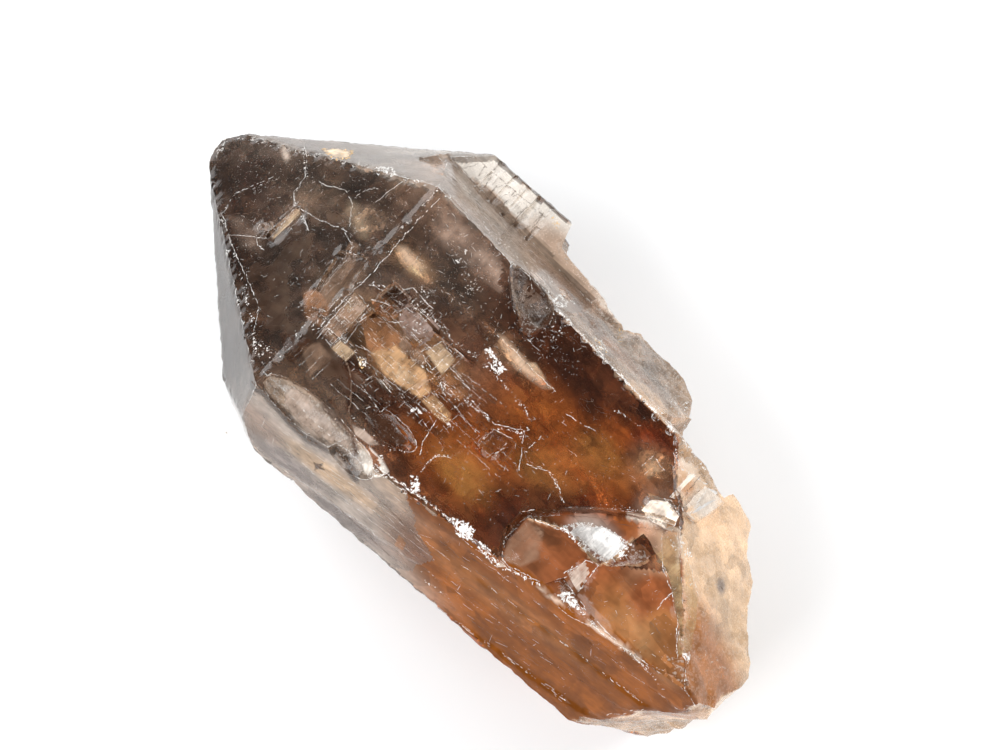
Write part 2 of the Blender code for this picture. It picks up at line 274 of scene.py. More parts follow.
def camera_axes():
    """Place of the camera, and its right, up and backward directions."""
    stage = bpy.context.scene.quartz_stage
    around, flat = stage.azimuth, math.cos(stage.elevation)
    back = Vector((math.sin(around) * flat, -math.cos(around) * flat, math.sin(stage.elevation)))
    right = Vector((0, 0, 1)).cross(back).normalized()
    return Vector(AIM) * MM + back * stage.distance, right, back.cross(right), back


def sight_line(pixel):
    """Start and direction of the line from the camera through a pixel of the picture."""
    start, right, up, back = camera_axes()
    scale = SENSOR / bpy.context.scene.quartz_stage.lens / PICTURE_WIDTH
    x = (pixel[0] - PICTURE_WIDTH / 2) * scale
    y = (PICTURE_HEIGHT / 2 - pixel[1]) * scale
    return start, (right * x + up * y - back).normalized()


def seen_at(tree, pixel):
    """Place and direction of the surface at a pixel, or None where the picture shows none."""
    for shift in SLIPS:
        place, normal, _, _ = tree.ray_cast(*sight_line((pixel[0] + shift, pixel[1])))
        if place is not None:
            return place, normal
    return None


def tree_of(obj, faces=None):
    """Search tree of the object's faces, or of these faces of it."""
    faces = obj.data.polygons if faces is None else faces
    return BVHTree.FromPolygons([vert.co for vert in obj.data.vertices], [face.vertices for face in faces])


def lies_in(place, box):
    """Whether the place is inside the box."""
    return all(low < value < high for value, low, high in zip(place, *box))


# Colours that the quartz has in places, as it shows them in daylight.
SMOKE = (0.36, 0.265, 0.205)
DARK_SMOKE = (0.22, 0.165, 0.13)
LIGHT_SMOKE = (0.58, 0.43, 0.32)
COFFEE = (0.125, 0.040, 0.016)
COGNAC = (0.96, 0.26, 0.045)
RUSSET = (0.42, 0.065, 0.018)
GOLDEN = (0.98, 0.42, 0.10)
AMBER = (0.50, 0.17, 0.045)
HAZE = (0.54, 0.385, 0.30)
TAUPE = (0.60, 0.43, 0.32)
AMBER_BROWN = (0.29, 0.085, 0.012)
CHESTNUT = (0.33, 0.12, 0.035)
WARM_HONEY = (0.86, 0.46, 0.21)
ROSE_BROWN = (0.38, 0.115, 0.040)
BRONZE = (0.48, 0.19, 0.065)
MAHOGANY = (0.25, 0.10, 0.045)
MAUVE = (0.36, 0.15, 0.075)
TAN = (0.84, 0.55, 0.34)
ROSE_TAN = (0.74, 0.44, 0.26)
OLIVE = (0.72, 0.51, 0.27)
BLUSH = (0.94, 0.70, 0.54)
LILAC_GREY = (0.46, 0.38, 0.345)
PALE_GREY = (0.84, 0.69, 0.58)
WARM_SLATE = (0.13, 0.078, 0.052)
STONE = (0.54, 0.43, 0.35)
WARM_SMOKE = (0.62, 0.385, 0.235)
PLATE_HONEY = (0.60, 0.36, 0.19)
PLATE_ROSE = (0.34, 0.215, 0.145)
PLATE_RUST = (0.45, 0.21, 0.10)
PLATE_DUSK = (0.29, 0.20, 0.165)
PLATE_SAND = (0.62, 0.44, 0.28)
PLATE_GREY = (0.50, 0.39, 0.32)
UMBER = (0.050, 0.022, 0.012)
GREY_BROWN = (0.44, 0.27, 0.18)
PEACH = (0.96, 0.66, 0.42)
DUNE = (0.76, 0.54, 0.38)
SHELL_PINK = (0.99, 0.85, 0.72)
SAND = (0.97, 0.73, 0.49)
CREAM = (0.98, 0.90, 0.81)
WHITE = (0.99, 0.98, 0.96)
# Colours of what lies inside it.
SPECK = (0.75, 0.66, 0.56)
OPEN_CRACK = (0.93, 0.80, 0.66, 1.0)
VEIL_SHADE, VEIL_LIGHT = (0.42, 0.27, 0.17, 1.0), (0.80, 0.68, 0.56, 1.0)

# Outlines and lines on the crystal that are used twice, in pixels.
LEFT_GROOVE = (
    (251, 381), (264, 393), (278, 407), (291, 424), (303, 436), (317, 444), (335, 450), (347, 459),
    (355, 477),
)
RIM_CRACK = ((343, 356), (350, 372), (352, 392), (349, 412), (353, 436), (355, 455))
STEP_FACET = ((567, 573), (586, 560), (599, 565), (578, 592))
PLATED_WINDOW = ((312, 330), (352, 295), (440, 310), (480, 400), (440, 440), (380, 400))
STRIPED_PLATE = ((315, 335), (350, 298), (372, 308), (338, 348))
LEDGE_STRIP = ((440, 165), (500, 215), (600, 320), (610, 345), (560, 290), (450, 190))
LONG_FACE = ((250, 400), (420, 500), (600, 660), (560, 700), (400, 560), (270, 440))

# Places where the quartz changes colour, a few of them painted reflection and painted shade as marked: the
# pixel, the half sizes along the crystal, across it and into it in millimetres, the turn in degrees and the
# colour.
COLOUR_SPOTS = (
    ((245, 165), (16, 13, 9), 0, DARK_SMOKE),
    ((248, 225), (9, 6, 8), 0, HAZE),
    ((248, 246), (5, 4, 4), 0, GREY_BROWN),
    ((318, 198), (7, 4, 4), 20, LIGHT_SMOKE),
    ((326, 284), (6, 4, 4), 0, WARM_SMOKE),
    ((248, 298), (5, 2.5, 4), 0, TAN),
    ((328, 314), (6, 4, 4), 0, WARM_SMOKE),
    ((290, 340), (5, 4, 4), 0, DARK_SMOKE),
    ((287, 268), (10, 7, 7), 0, DARK_SMOKE),
    ((330, 195), (9, 5, 6), 30, LIGHT_SMOKE),
    ((385, 195), (13, 6, 8), 20, DARK_SMOKE),
    ((415, 190), (8, 4, 6), 0, LIGHT_SMOKE),
    ((358, 218), (7, 4, 5), 30, LIGHT_SMOKE),
    ((345, 245), (10, 4, 5), 0, DARK_SMOKE),
    ((335, 285), (6, 7, 5), 0, LIGHT_SMOKE),
    ((470, 235), (18, 10, 8), 0, HAZE),
    ((455, 285), (10, 6, 8), 0, DARK_SMOKE),
    # A lighter tint over the point's mirroring crack: painted reflection.
    ((412, 262), (6, 2.6, 4), 0, TAN),
    ((350, 320), (8, 8, 5), 0, LIGHT_SMOKE),
    # The honey tint of the window: painted amber reflection.
    ((395, 345), (12, 8, 5), 0, WARM_HONEY),
    ((425, 365), (10, 6, 5), 0, WARM_HONEY),
    ((450, 345), (7, 5, 4), 0, COGNAC),
    ((300, 345), (8, 5, 5), 0, DARK_SMOKE),
    ((385, 425), (11, 5, 4), 0, COFFEE),
    ((335, 400), (12, 4, 4), 0, SMOKE),
    ((300, 400), (9, 3, 4), 0, LIGHT_SMOKE),
    # A lighter tint over the long mirroring crack: painted reflection.
    ((525, 362), (9, 3.4, 4), 3, TAN),
    ((575, 340), (22, 10, 8), 0, COFFEE),
    ((596, 392), (20, 10, 8), 0, COFFEE),
    ((460, 455), (16, 10, 8), 0, COGNAC),
    ((556, 446), (17, 10, 8), 0, COGNAC),
    ((612, 400), (13, 6, 8), 0, COFFEE),
    ((620, 480), (15, 10, 8), 0, COGNAC),
    ((500, 490), (16, 6, 6), 0, COGNAC),
    ((656, 450), (6, 3.5, 4), 0, RUSSET),
    ((651, 470), (6, 5, 4), 0, ROSE_TAN),
    ((465, 478), (8, 3.5, 4), 0, GOLDEN),
    ((540, 470), (7, 3.5, 4), 0, GOLDEN),
    ((600, 455), (6, 4, 4), 0, GOLDEN),
    ((535, 548), (15, 13, 6), 0, MAHOGANY),
    ((515, 535), (6, 5, 4), 0, MAUVE),
    # A dark band in the hollow above the small crystals: painted shade.
    ((590, 513), (17, 2.0, 4), -20, COFFEE),
    ((598, 542), (7, 4.5, 5), -10, CREAM),
    ((635, 600), (26, 18, 8), 0, ROSE_BROWN),
    ((632, 632), (11, 8, 5), 0, BRONZE),
    ((660, 512), (5, 4.5, 4), 0, SHELL_PINK),
    ((714, 496), (5, 5, 4), 0, SHELL_PINK),
    ((684, 488), (5, 3, 4), 0, ROSE_TAN),
    ((722, 560), (20, 20, 11), 0, PEACH),
    ((708, 676), (18, 10, 11), 0, BRONZE),
    ((721, 586), (1.8, 1.5, 3), 0, SMOKE),
    ((235, 300), (34, 12, 9), 0, WARM_SLATE),
    ((290, 455), (26, 14, 9), 0, PALE_GREY),
    ((370, 530), (26, 14, 9), 0, PALE_GREY),
    ((330, 474), (14, 3, 5), 0, PEACH),
    ((252, 420), (9, 5, 6), 0, HAZE),
    ((285, 462), (11, 3, 6), 0, LILAC_GREY),
    ((345, 520), (12, 3, 6), 0, LILAC_GREY),
    ((420, 556), (9, 2.5, 5), 0, BLUSH),
    ((440, 562), (12, 9, 9), 0, ROSE_TAN),
    ((470, 585), (18, 12, 9), 0, AMBER_BROWN),
    ((560, 650), (40, 20, 12), 0, AMBER_BROWN),
    ((500, 600), (24, 4, 8), 0, CHESTNUT),
    ((330, 147), (40, 12, 6), 0, STONE),
    ((500, 195), (34, 16, 7), 0, CREAM),
    ((490, 222), (44, 14, 6), 0, TAUPE),
    ((455, 178), (9, 3, 5), 0, PALE_GREY),
    ((575, 262), (13, 4.5, 4), 0, TAUPE),
    ((600, 292), (9, 4.5, 4), 0, TAUPE),
    ((585, 306), (16, 5, 6), 0, GREY_BROWN),
    ((640, 365), (14, 9, 7), 0, STONE),
    ((618, 350), (14, 3.5, 5), 0, GREY_BROWN),
)
# Places that take a colour on whatever side they are: the pixel, the radius in millimetres and the colour.
COLOUR_ROUNDS = (
    # Darker in the pit: painted shade.
    ((530, 296), 4.2, DARK_SMOKE),
    ((546, 316), 3.4, DARK_SMOKE),
    ((640, 548), 3.4, MAHOGANY),
    ((706, 502), 3.6, SHELL_PINK),
    ((660, 512), 2.6, SHELL_PINK),
    ((686, 486), 2.2, ROSE_TAN),
    ((675, 668), 4.0, BRONZE),
    ((572, 592), 3.0, MAHOGANY),
    ((655, 598), 5.4, ROSE_BROWN),
    ((664, 630), 4.4, BRONZE),
)


# The colour of each finish where nothing else is given: at the point and at the root.
BODY_COLOURS = {
    "clear_quartz": (SMOKE, COGNAC),
    "hazy_quartz": (WARM_SLATE, COGNAC),
    "side_quartz": (LIGHT_SMOKE, TAN),
    "warm_quartz": (AMBER_BROWN, AMBER_BROWN),
    "small_quartz": (ROSE_BROWN, ROSE_BROWN),
    "pale_quartz": (CREAM, SHELL_PINK),
    "root_quartz": (PEACH, PEACH),
    "broken_quartz": (LIGHT_SMOKE, TAN),
}


# Lines of another colour, two of them painted shade as marked: the pixels that each runs through, its half
# width in millimetres and the colour.
COLOUR_LINES = (
    # Painted shade in the left groove.
    (LEFT_GROOVE, 1.3, UMBER),
    (RIM_CRACK, 0.8, COFFEE),
    # Painted shade in the hollow above the small crystals.
    (((505, 545), (512, 526), (530, 513), (565, 510), (600, 511), (636, 517), (664, 530)), 0.8, COFFEE),
    (((441, 190), (462, 212), (482, 231), (500, 250), (511, 260)), 0.7, PALE_GREY),
    (((378, 290), (394, 283), (412, 298)), 0.6, COFFEE),
    (((384, 310), (372, 315), (400, 345), (424, 372)), 0.5, COFFEE),
    (((433, 331), (452, 347), (473, 364)), 0.6, COFFEE),
    (((320, 330), (338, 345), (362, 372), (392, 398), (420, 420), (444, 436)), 0.9, COFFEE),
    (((285, 352), (306, 372), (330, 398), (350, 420)), 0.9, SMOKE),
    (((539, 588), (556, 600), (590, 624), (618, 644), (640, 660)), 0.5, BLUSH),
    (((669, 534), (676, 572), (684, 612), (684, 652)), 0.6, ROSE_TAN),
)


def near_line(points, corners):
    """How far each point is from a line through the corners."""
    far = np.full(len(points), np.inf)
    for start, end in zip(corners, corners[1:]):
        step = end - start
        share = np.clip((points - start) @ step / (step @ step), 0.0, 1.0)
        far = np.minimum(far, np.linalg.norm(points - start - share[:, None] * step, axis=1))
    return far


def painted(colours, colour, share):
    """The colours with this one laid over them by its share at each point."""
    return colours * (1 - share[:, None]) + np.array(colour) * share[:, None]


def paint_colours(obj, tree, finish, sides):
    """Colour attribute of the crystal: smoke at the point, warm toward the root, and the spots and lines, a
    few of which are painted reflection and painted shade.
    """
    mesh = obj.data
    points = points_of(mesh)
    along = ramp(points[:, 0], SOLID_BOX[0].x * 0.3, SOLID_BOX[1].x * 0.6)[:, None]
    point, root = (np.array([colours[end] for colours in BODY_COLOURS.values()])[finish] for end in (0, 1))
    colours = point * (1 - along) + root * along
    for pixel, sizes, turn, colour in COLOUR_SPOTS:
        found = seen_at(tree, pixel)
        if found is None:
            continue
        place, normal = found
        length = (ALONG - normal * normal.x).normalized()
        length = Matrix.Rotation(math.radians(turn), 3, normal) @ length
        axes = np.array((length, normal.cross(length), normal))
        far = np.linalg.norm((points - np.array(place)) @ axes.T / (np.array(sizes) * MM), axis=1)
        share = (1.0 - ramp(far, 0.45, 1.3)) * ramp(sides @ np.array(normal), 0.55, 0.8)
        colours = painted(colours, colour, share)
    for pixel, radius, colour in COLOUR_ROUNDS:
        far = np.linalg.norm(points - np.array(seen_at(tree, pixel)[0]), axis=1) / (radius * MM)
        share = 1.0 - ramp(far, 0.6, 1.2)
        colours = painted(colours, colour, share)
    for pixels, width, colour in COLOUR_LINES:
        far = near_line(points, [np.array(seen_at(tree, pixel)[0]) for pixel in pixels]) / (width * MM)
        share = 0.85 * (1.0 - ramp(far, 0.4, 1.3))
        colours = painted(colours, colour, share)
    tint_and_painted_light = mesh.attributes.new("tint_and_painted_light", "FLOAT_COLOR", "POINT")
    tint_and_painted_light.data.foreach_set("color", np.column_stack((colours, np.ones(len(colours)))).ravel())


def node(tree, kind, values=(), **inputs):
    """Add a shader node, set its values and set or link its inputs, named with underscores for spaces."""
    made = tree.nodes.new(kind)
    for name, value in dict(values).items():
        setattr(made, name, value)
    for name, value in inputs.items():
        socket = made.inputs[name.replace("_", " ")]
        if isinstance(value, bpy.types.NodeSocket):
            tree.links.new(value, socket)
        else:
            socket.default_value = value
    return made


def scaled(tree, value, share):
    """A place or colour times a number."""
    return node(
        tree, "ShaderNodeVectorMath", {"operation": "SCALE"}, Vector=value, Scale=share
    ).outputs["Vector"]


def maths(tree, operation, *values):
    """Math node on numbers or sockets."""
    made = tree.nodes.new("ShaderNodeMath")
    made.operation = operation
    for socket, value in zip(made.inputs, values):
        if isinstance(value, bpy.types.NodeSocket):
            tree.links.new(value, socket)
        else:
            socket.default_value = value
    return made.outputs[0]


def span(tree, value, low, high, start=0.0, end=1.0):
    """Map a value from low..high to start..end."""
    return node(
        tree, "ShaderNodeMapRange", {"interpolation_type": "SMOOTHSTEP"},
        Value=value, From_Min=low, From_Max=high, To_Min=start, To_Max=end,
    ).outputs["Result"]


def grain(tree, place, size, detail=3.0, roughness=0.55, distortion=0.0):
    """Noise with grains of this size in millimetres."""
    return node(
        tree, "ShaderNodeTexNoise", Vector=place, Scale=1.0 / size, Detail=detail, Roughness=roughness,
        Distortion=distortion,
    ).outputs["Fac"]


# Where a Mix node has its factor and its two colours, and where it gives the mixed one.
MIX_COLOURS, MIXED = (0, 6, 7), 2


def blend(tree, share, first, second):
    """Mix two colours."""
    made = tree.nodes.new("ShaderNodeMix")
    made.data_type = "RGBA"
    for index, value in zip(MIX_COLOURS, (share, first, second)):
        if isinstance(value, bpy.types.NodeSocket):
            tree.links.new(value, made.inputs[index])
        else:
            made.inputs[index].default_value = value
    return made.outputs[MIXED]


def new_material(name):
    """Material with a Principled shader, as (material, node tree, shader, place in millimetres)."""
    material = bpy.data.materials.new(name)
    material.use_nodes = True
    tree = material.node_tree
    place = scaled(tree, node(tree, "ShaderNodeTexCoord").outputs["Object"], 1.0 / MM)
    return material, tree, tree.nodes["Principled BSDF"], place


def stretched(tree, place, sizes, turn=0.0):
    """Place turned about the upright axis and scaled, so that a pattern is drawn out along the crystal."""
    made = node(tree, "ShaderNodeMapping", Vector=place)
    made.inputs["Rotation"].default_value = (0, 0, math.radians(turn))
    made.inputs["Scale"].default_value = [1.0 / size for size in sizes]
    return made.outputs["Vector"]


# Colour of the white grit and of the painted highlight on the flow lines.
GRIT_AND_HIGHLIGHT = (0.90, 0.84, 0.77, 1.0)


def quartz_material(name, clear, polish, cloud, speckle, flow_light_and_shade, ruling, gloss):
    """Smoky quartz, with a finish of the table below."""
    settings = bpy.context.scene.quartz_crystal
    material, tree, shader, place = new_material(name)
    tint_and_painted_light = node(tree, "ShaderNodeAttribute", {"attribute_name": "tint_and_painted_light"}).outputs["Color"]

    # Smoke drifts in soft clouds and in thinner streaks along the crystal.
    clouds = grain(tree, place, 7.0, 3.0, 0.68)
    streaks = grain(tree, stretched(tree, place, (8.0, 2.0, 3.0)), 1.0, 2.0, 0.6)
    smoke = span(tree, clouds, 0.34, 0.66, 1.0 - cloud, 1.0 + cloud)
    streak = span(tree, streaks, 0.36, 0.66, 1.0 - cloud * 0.4, 1.0 + cloud * 0.4)

    # Growth plates, square to the crystal's length, differ in tone.
    nearest = node(
        tree, "ShaderNodeTexVoronoi", {"feature": "F1", "distance": "CHEBYCHEV"},
        Vector=stretched(tree, place, (6.5, 4.2, 5.0), 3.0), Scale=1.0,
    )
    tone = node(tree, "ShaderNodeSeparateColor", Color=nearest.outputs["Color"]).outputs[0]
    plate = span(tree, tone, 0.0, 1.0, 1.0 - cloud * 0.7, 1.0 + cloud * 0.7)

    # Flow lines: each a thin painted highlight with a painted shade along its rim, which give them an embossed
    # look.
    flow = grain(tree, stretched(tree, place, (6.0, 2.6, 3.0), 12.0), 1.0, 2.0, 0.62)
    contour = maths(tree, "PINGPONG", maths(tree, "MULTIPLY", flow, 8.0), 0.5)
    shown = maths(tree, "MULTIPLY", span(tree, streaks, 0.53, 0.60), flow_light_and_shade)
    flow_highlight = maths(tree, "MULTIPLY", span(tree, contour, 0.008, 0.030, 1.0, 0.0), shown)
    shadow = maths(tree, "MULTIPLY", span(tree, contour, 0.03, 0.13, 0.6, 0.0), shown)

    # Fine lines along the crystal.
    rule = 1.0
    if ruling:
        rules = grain(tree, stretched(tree, place, (9.0, 0.5, 0.7)), 1.0, 2.0, 0.6)
        rule = span(tree, rules, 0.38, 0.66, 1.0 - ruling, 1.0 + ruling * 0.5)
    # The depth of the colour also carries the painted shade of the flow lines.
    depth = maths(
        tree, "MULTIPLY", maths(tree, "MULTIPLY", maths(tree, "MULTIPLY", smoke, streak), plate),
        maths(tree, "MULTIPLY", rule, maths(tree, "SUBTRACT", 1.0, shadow)),
    )
    coloured = scaled(tree, tint_and_painted_light, depth)

    # White grit breaks up the polish.
    fine = grain(tree, place, 0.55, 1.0, 0.7)
    grit = maths(tree, "MULTIPLY", span(tree, fine, 0.56, 0.64), speckle)
    # The white grit and the painted highlight of the flow lines are laid over the colour.
    light = maths(tree, "MAXIMUM", flow_highlight, grit)
    tree.links.new(blend(tree, light, coloured, GRIT_AND_HIGHLIGHT), shader.inputs["Base Color"])
    smooth = span(tree, fine, 0.35, 0.7, polish * 0.6, polish * 1.5)
    rough = maths(tree, "ADD", smooth, maths(tree, "MULTIPLY", light, 0.4))
    tree.links.new(rough, shader.inputs["Roughness"])

    # The same grain as relief.
    relief = maths(tree, "MULTIPLY", fine, 0.4 + speckle)
    bump = node(tree, "ShaderNodeBump", Strength=0.5, Distance=0.12 * MM, Height=relief)
    tree.links.new(bump.outputs["Normal"], shader.inputs["Normal"])

    shader.inputs["IOR"].default_value = settings.ior
    shader.inputs["Transmission Weight"].default_value = clear
    shader.inputs["Specular IOR Level"].default_value = gloss
    absorb = tree.nodes.new("ShaderNodeVolumeAbsorption")
    absorb.inputs["Color"].default_value = (*settings.smoke, 1.0)
    absorb.inputs["Density"].default_value = settings.density
    tree.links.new(absorb.outputs["Volume"], tree.nodes["Material Output"].inputs["Volume"])
    return material


# The finish of each kind of side: its transmission and roughness, how much its colour varies, its white grit,
# the strength of the painted highlight and painted shade of its flow lines, its fine lines and its gloss.
FINISHES = {
    "clear_quartz": (0.9, 0.045, 0.4, 0.0, 0.6, 0.0, 0.5),
    "hazy_quartz": (0.8, 0.09, 0.28, 0.0, 0.15, 0.1, 0.05),
    "side_quartz": (0.62, 0.13, 0.2, 0.05, 0.3, 0.16, 0.3),
    "warm_quartz": (0.35, 0.12, 0.24, 0.0, 0.2, 0.08, 0.0),
    "small_quartz": (0.42, 0.1, 0.26, 0.0, 0.2, 0.0, 0.15),
    "pale_quartz": (0.22, 0.2, 0.1, 0.1, 0.5, 0.0, 0.5),
    "root_quartz": (0.26, 0.26, 0.2, 0.16, 0.4, 0.0, 0.4),
    "broken_quartz": (0.5, 0.22, 0.3, 0.45, 0.2, 0.0, 0.5),
}


class QUARTZ_OT_crystal(bpy.types.Operator):
    """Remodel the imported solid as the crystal, with wavy growth faces, worn edges and rough breaks"""

    bl_idname = "quartz.crystal"
    bl_label = "Crystal"

    def execute(self, context):
        settings = context.scene.quartz_crystal
        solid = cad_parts[SOLID]
        crystal = self.copy_of(solid, "crystal")
        plain = self.copy_of(solid, "plain_faces")
        in_edit_mode(plain, (bpy.ops.mesh.dissolve_limited, {"angle_limit": SAME_SIDE}))

        cells = (SOLID_BOX[1] - SOLID_BOX[0]).x / settings.cell
        depth = math.ceil(math.log2(cells))
        modify(
            crystal, "REMESH", mode="SHARP", octree_depth=depth, scale=cells / 2**depth,
            use_remove_disconnected=True,
        )
        modify(crystal, "SHRINKWRAP", target=solid, wrap_method="NEAREST_SURFACEPOINT")
        in_edit_mode(crystal, (bpy.ops.mesh.normals_make_consistent, {"inside": False}))

        finish, sides = self.read_sides(plain, crystal)
        broken = finish == list(FINISHES).index("broken_quartz")
        set_group(crystal, "broken", broken)
        set_group(crystal, "grown", ~broken)
        set_group(crystal, "edge", self.read_edges(crystal))
        set_group(crystal, "steps", self.read_steps(plain, crystal))
        modify(crystal, "SMOOTH", factor=0.6, iterations=14, vertex_group="steps")
        push(crystal, "slow_waves", 13.0 * MM, settings.waviness * 2, "grown")
        push(crystal, "small_waves", 4.5 * MM, settings.waviness * 0.5, "grown")
        push(crystal, "break_steps", 5.0 * MM, settings.breakage, "broken")
        push(crystal, "break_grain", 1.7 * MM, settings.breakage * 0.55, "broken")
        push(crystal, "edge_wear", 2.4 * MM, settings.wear, "edge", middle=0.85, contrast=1.8)
        only(crystal)
        bpy.ops.object.shade_smooth_by_angle(angle=math.radians(28))

        paint_colours(crystal, tree_of(crystal), finish, sides)
        for name, values in FINISHES.items():
            crystal.data.materials.append(quartz_material(name, *values))
        for face in crystal.data.polygons:
            face.material_index = int(np.median(finish[list(face.vertices)]))
        bpy.data.objects.remove(plain)
        finish_piece(crystal)
        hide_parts(SOLID)
        return {"FINISHED"}

    def copy_of(self, solid, name):
        """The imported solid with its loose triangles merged."""
        made = bpy.data.objects.new(name, solid.data.copy())
        bpy.context.scene.collection.objects.link(made)
        made.data.materials.clear()
        in_edit_mode(made, (bpy.ops.mesh.remove_doubles, {"threshold": MERGE}))
        return made

    def read_sides(self, plain, crystal):
        """The finish and the direction of the side that each point of the crystal belongs to."""
        searches = []
        for least, reach in ((SIDE_AREA, 1.3), (FACET_AREA, 0.7), (CHIP_AREA, 0.5), (0.0, FAR)):
            faces = [face for face in plain.data.polygons if face.area >= least * MM * MM]
            kinds = [self.side_of(face, least) for face in faces]
            searches.append((tree_of(plain, faces), reach * MM, kinds))
        names = list(FINISHES)
        finish, sides = [], []
        for vert in crystal.data.vertices:
            for tree, reach, kinds in searches:
                face = tree.find_nearest(vert.co, reach)[2]
                if face is not None and kinds[face] is not None:
                    finish.append(names.index(kinds[face][0]))
                    sides.append(kinds[face][1])
                    break
        finish, sides = np.array(finish), np.array(sides)
        along, across = points_of(crystal.data)[:, 0] / MM, points_of(crystal.data)[:, 1] / MM
        ragged = along + [8.0 * noise.noise(v.co / (6.0 * MM)) for v in crystal.data.vertices]
        for old, new, where in (
            ("side_quartz", "warm_quartz", (sides @ np.array(LONG_SIDE) > 0.9) & (ragged > 17.0)),
            ("side_quartz", "broken_quartz", (sides @ np.array(RISER) > 0.9) & (ragged > 6.0)),
            ("broken_quartz", "root_quartz", (sides[:, 2] > -0.2) & (along > 52.0) & (across > -13.0)),
        ):
            finish[(finish == names.index(old)) & where] = names.index(new)
        return finish, sides

    def side_of(self, face, least):
        """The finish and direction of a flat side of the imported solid, None where a later search decides."""
        middle, normal = face.center / MM, face.normal.copy()
        long_side = Vector(LONG_SIDE).normalized()
        narrow = face.area < SIDE_AREA * MM * MM
        if not least:
            return "broken_quartz", normal
        if normal.x > 0.35 and lies_in(middle, ROOT_END):
            return "root_quartz", normal
        if lies_in(middle, CORNER_FACETS):
            return "pale_quartz", normal
        if face.area < FACET_AREA * MM * MM:
            return ("small_quartz", normal) if lies_in(middle, SMALL_FACETS) else None
        if abs((middle - Vector(ON_LONG_SIDE)).dot(long_side)) < 3.0 and lies_in(middle, LONG_STEPS):
            return "side_quartz", long_side
        if narrow and normal.z > 0.4 and lies_in(middle, SMALL_CRYSTALS):
            return "small_quartz", normal
        if normal.z > 0.95 and lies_in(middle, LEDGE_TOP):
            return "pale_quartz", normal
        if normal.dot(Vector(POINT_SIDE).normalized()) > 0.93:
            return "hazy_quartz", normal
        if any(normal.dot(Vector(side).normalized()) > 0.93 for side in (LONG_SIDE, POINT_TOP, RISER)):
            return "side_quartz", normal
        if narrow and normal.dot(camera_axes()[3]) < 0.0:
            return "side_quartz", normal
        return "clear_quartz", normal

    def read_steps(self, plain, crystal):
        """How near each point of the crystal is to a growth step of its long side, which is worn soft."""
        steps = [
            face for face in plain.data.polygons
            if face.area > FACET_AREA * MM * MM and abs(face.normal.z) > 0.6 and face.center.y < -22.0 * MM
            and abs(face.normal.dot(Vector(LONG_SIDE))) < 0.3 and abs(face.normal.x) < 0.1
        ]
        tree = tree_of(plain, steps)
        far = [tree.find_nearest(vert.co)[3] for vert in crystal.data.vertices]
        return 1.0 - ramp(np.array(far), 0.6 * MM, 1.8 * MM)

    def read_edges(self, crystal):
        """How near each point of the crystal is to a sharp edge."""
        along = []
        for start, end in sharp_edges():
            count = max(1, round((end - start).length / (0.5 * MM)))
            along += [start.lerp(end, step / count) for step in range(count + 1)]
        edges = KDTree(len(along))
        for index, place in enumerate(along):
            edges.insert(place, index)
        edges.balance()
        far = [edges.find(vert.co)[2] for vert in crystal.data.vertices]
        return 1.0 - ramp(np.array(far), 0.3 * MM, 1.3 * MM)


def sharp_edges():
    """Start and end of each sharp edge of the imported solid."""
    bm = bmesh.new()
    bm.from_mesh(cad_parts[SOLID].data)
    bmesh.ops.remove_doubles(bm, verts=bm.verts, dist=MERGE)
    bmesh.ops.dissolve_limit(bm, angle_limit=SAME_SIDE, verts=bm.verts, edges=bm.edges)
    ends = [
        tuple(vert.co.copy() for vert in edge.verts)
        for edge in bm.edges if edge.is_manifold and edge.calc_face_angle() > SHARP
    ]
    bm.free()
    return ends


def flake(name, sizes, seed):
    """One small irregular grain to copy, its middle where it is laid."""
    made = added(name, bpy.ops.mesh.primitive_ico_sphere_add, subdivisions=1, radius=1.0)
    in_edit_mode(
        made,
        (bpy.ops.transform.vertex_random, {"offset": 0.42, "seed": seed}),
        (bpy.ops.transform.resize, {"value": sizes}),
    )
    return made


def joined_copies(name, kinds, places, material):
    """One piece with a copy of a grain at each place, of each kind by turns."""
    shapes = []
    for kind in kinds:
        faces = np.array([tuple(face.vertices) for face in kind.data.polygons])
        shapes.append((points_of(kind.data), faces))
        bpy.data.objects.remove(kind)
    points, faces, count = [], [], 0
    for number, matrix in enumerate(places):
        shape, corners = shapes[number % len(shapes)]
        turned = np.array(matrix)
        points.append(shape @ turned[:3, :3].T + turned[:3, 3])
        faces.append(corners + count)
        count += len(shape)
    mesh = bpy.data.meshes.new(name)
    mesh.from_pydata(np.concatenate(points).tolist(), [], np.concatenate(faces).tolist())
    made = bpy.data.objects.new(name, mesh)
    bpy.context.scene.collection.objects.link(made)
    in_edit_mode(made, (bpy.ops.mesh.normals_make_consistent, {"inside": False}))
    mesh.materials.append(material)
    finish_piece(made)
    return made


def laid(place, normal, forward, sizes, turn):
    """Matrix that lays a grain of these sizes on the surface, pointing forward and then turned."""
    length = forward - normal * forward.dot(normal)
    if length.length < MERGE:
        length = normal.orthogonal()
    length.normalize()
    length = Matrix.Rotation(turn, 3, normal) @ length
    axes = Matrix((length, normal.cross(length), normal)).transposed()
    return Matrix.Translation(place) @ axes.to_4x4() @ Matrix.Diagonal((*sizes, 1.0))


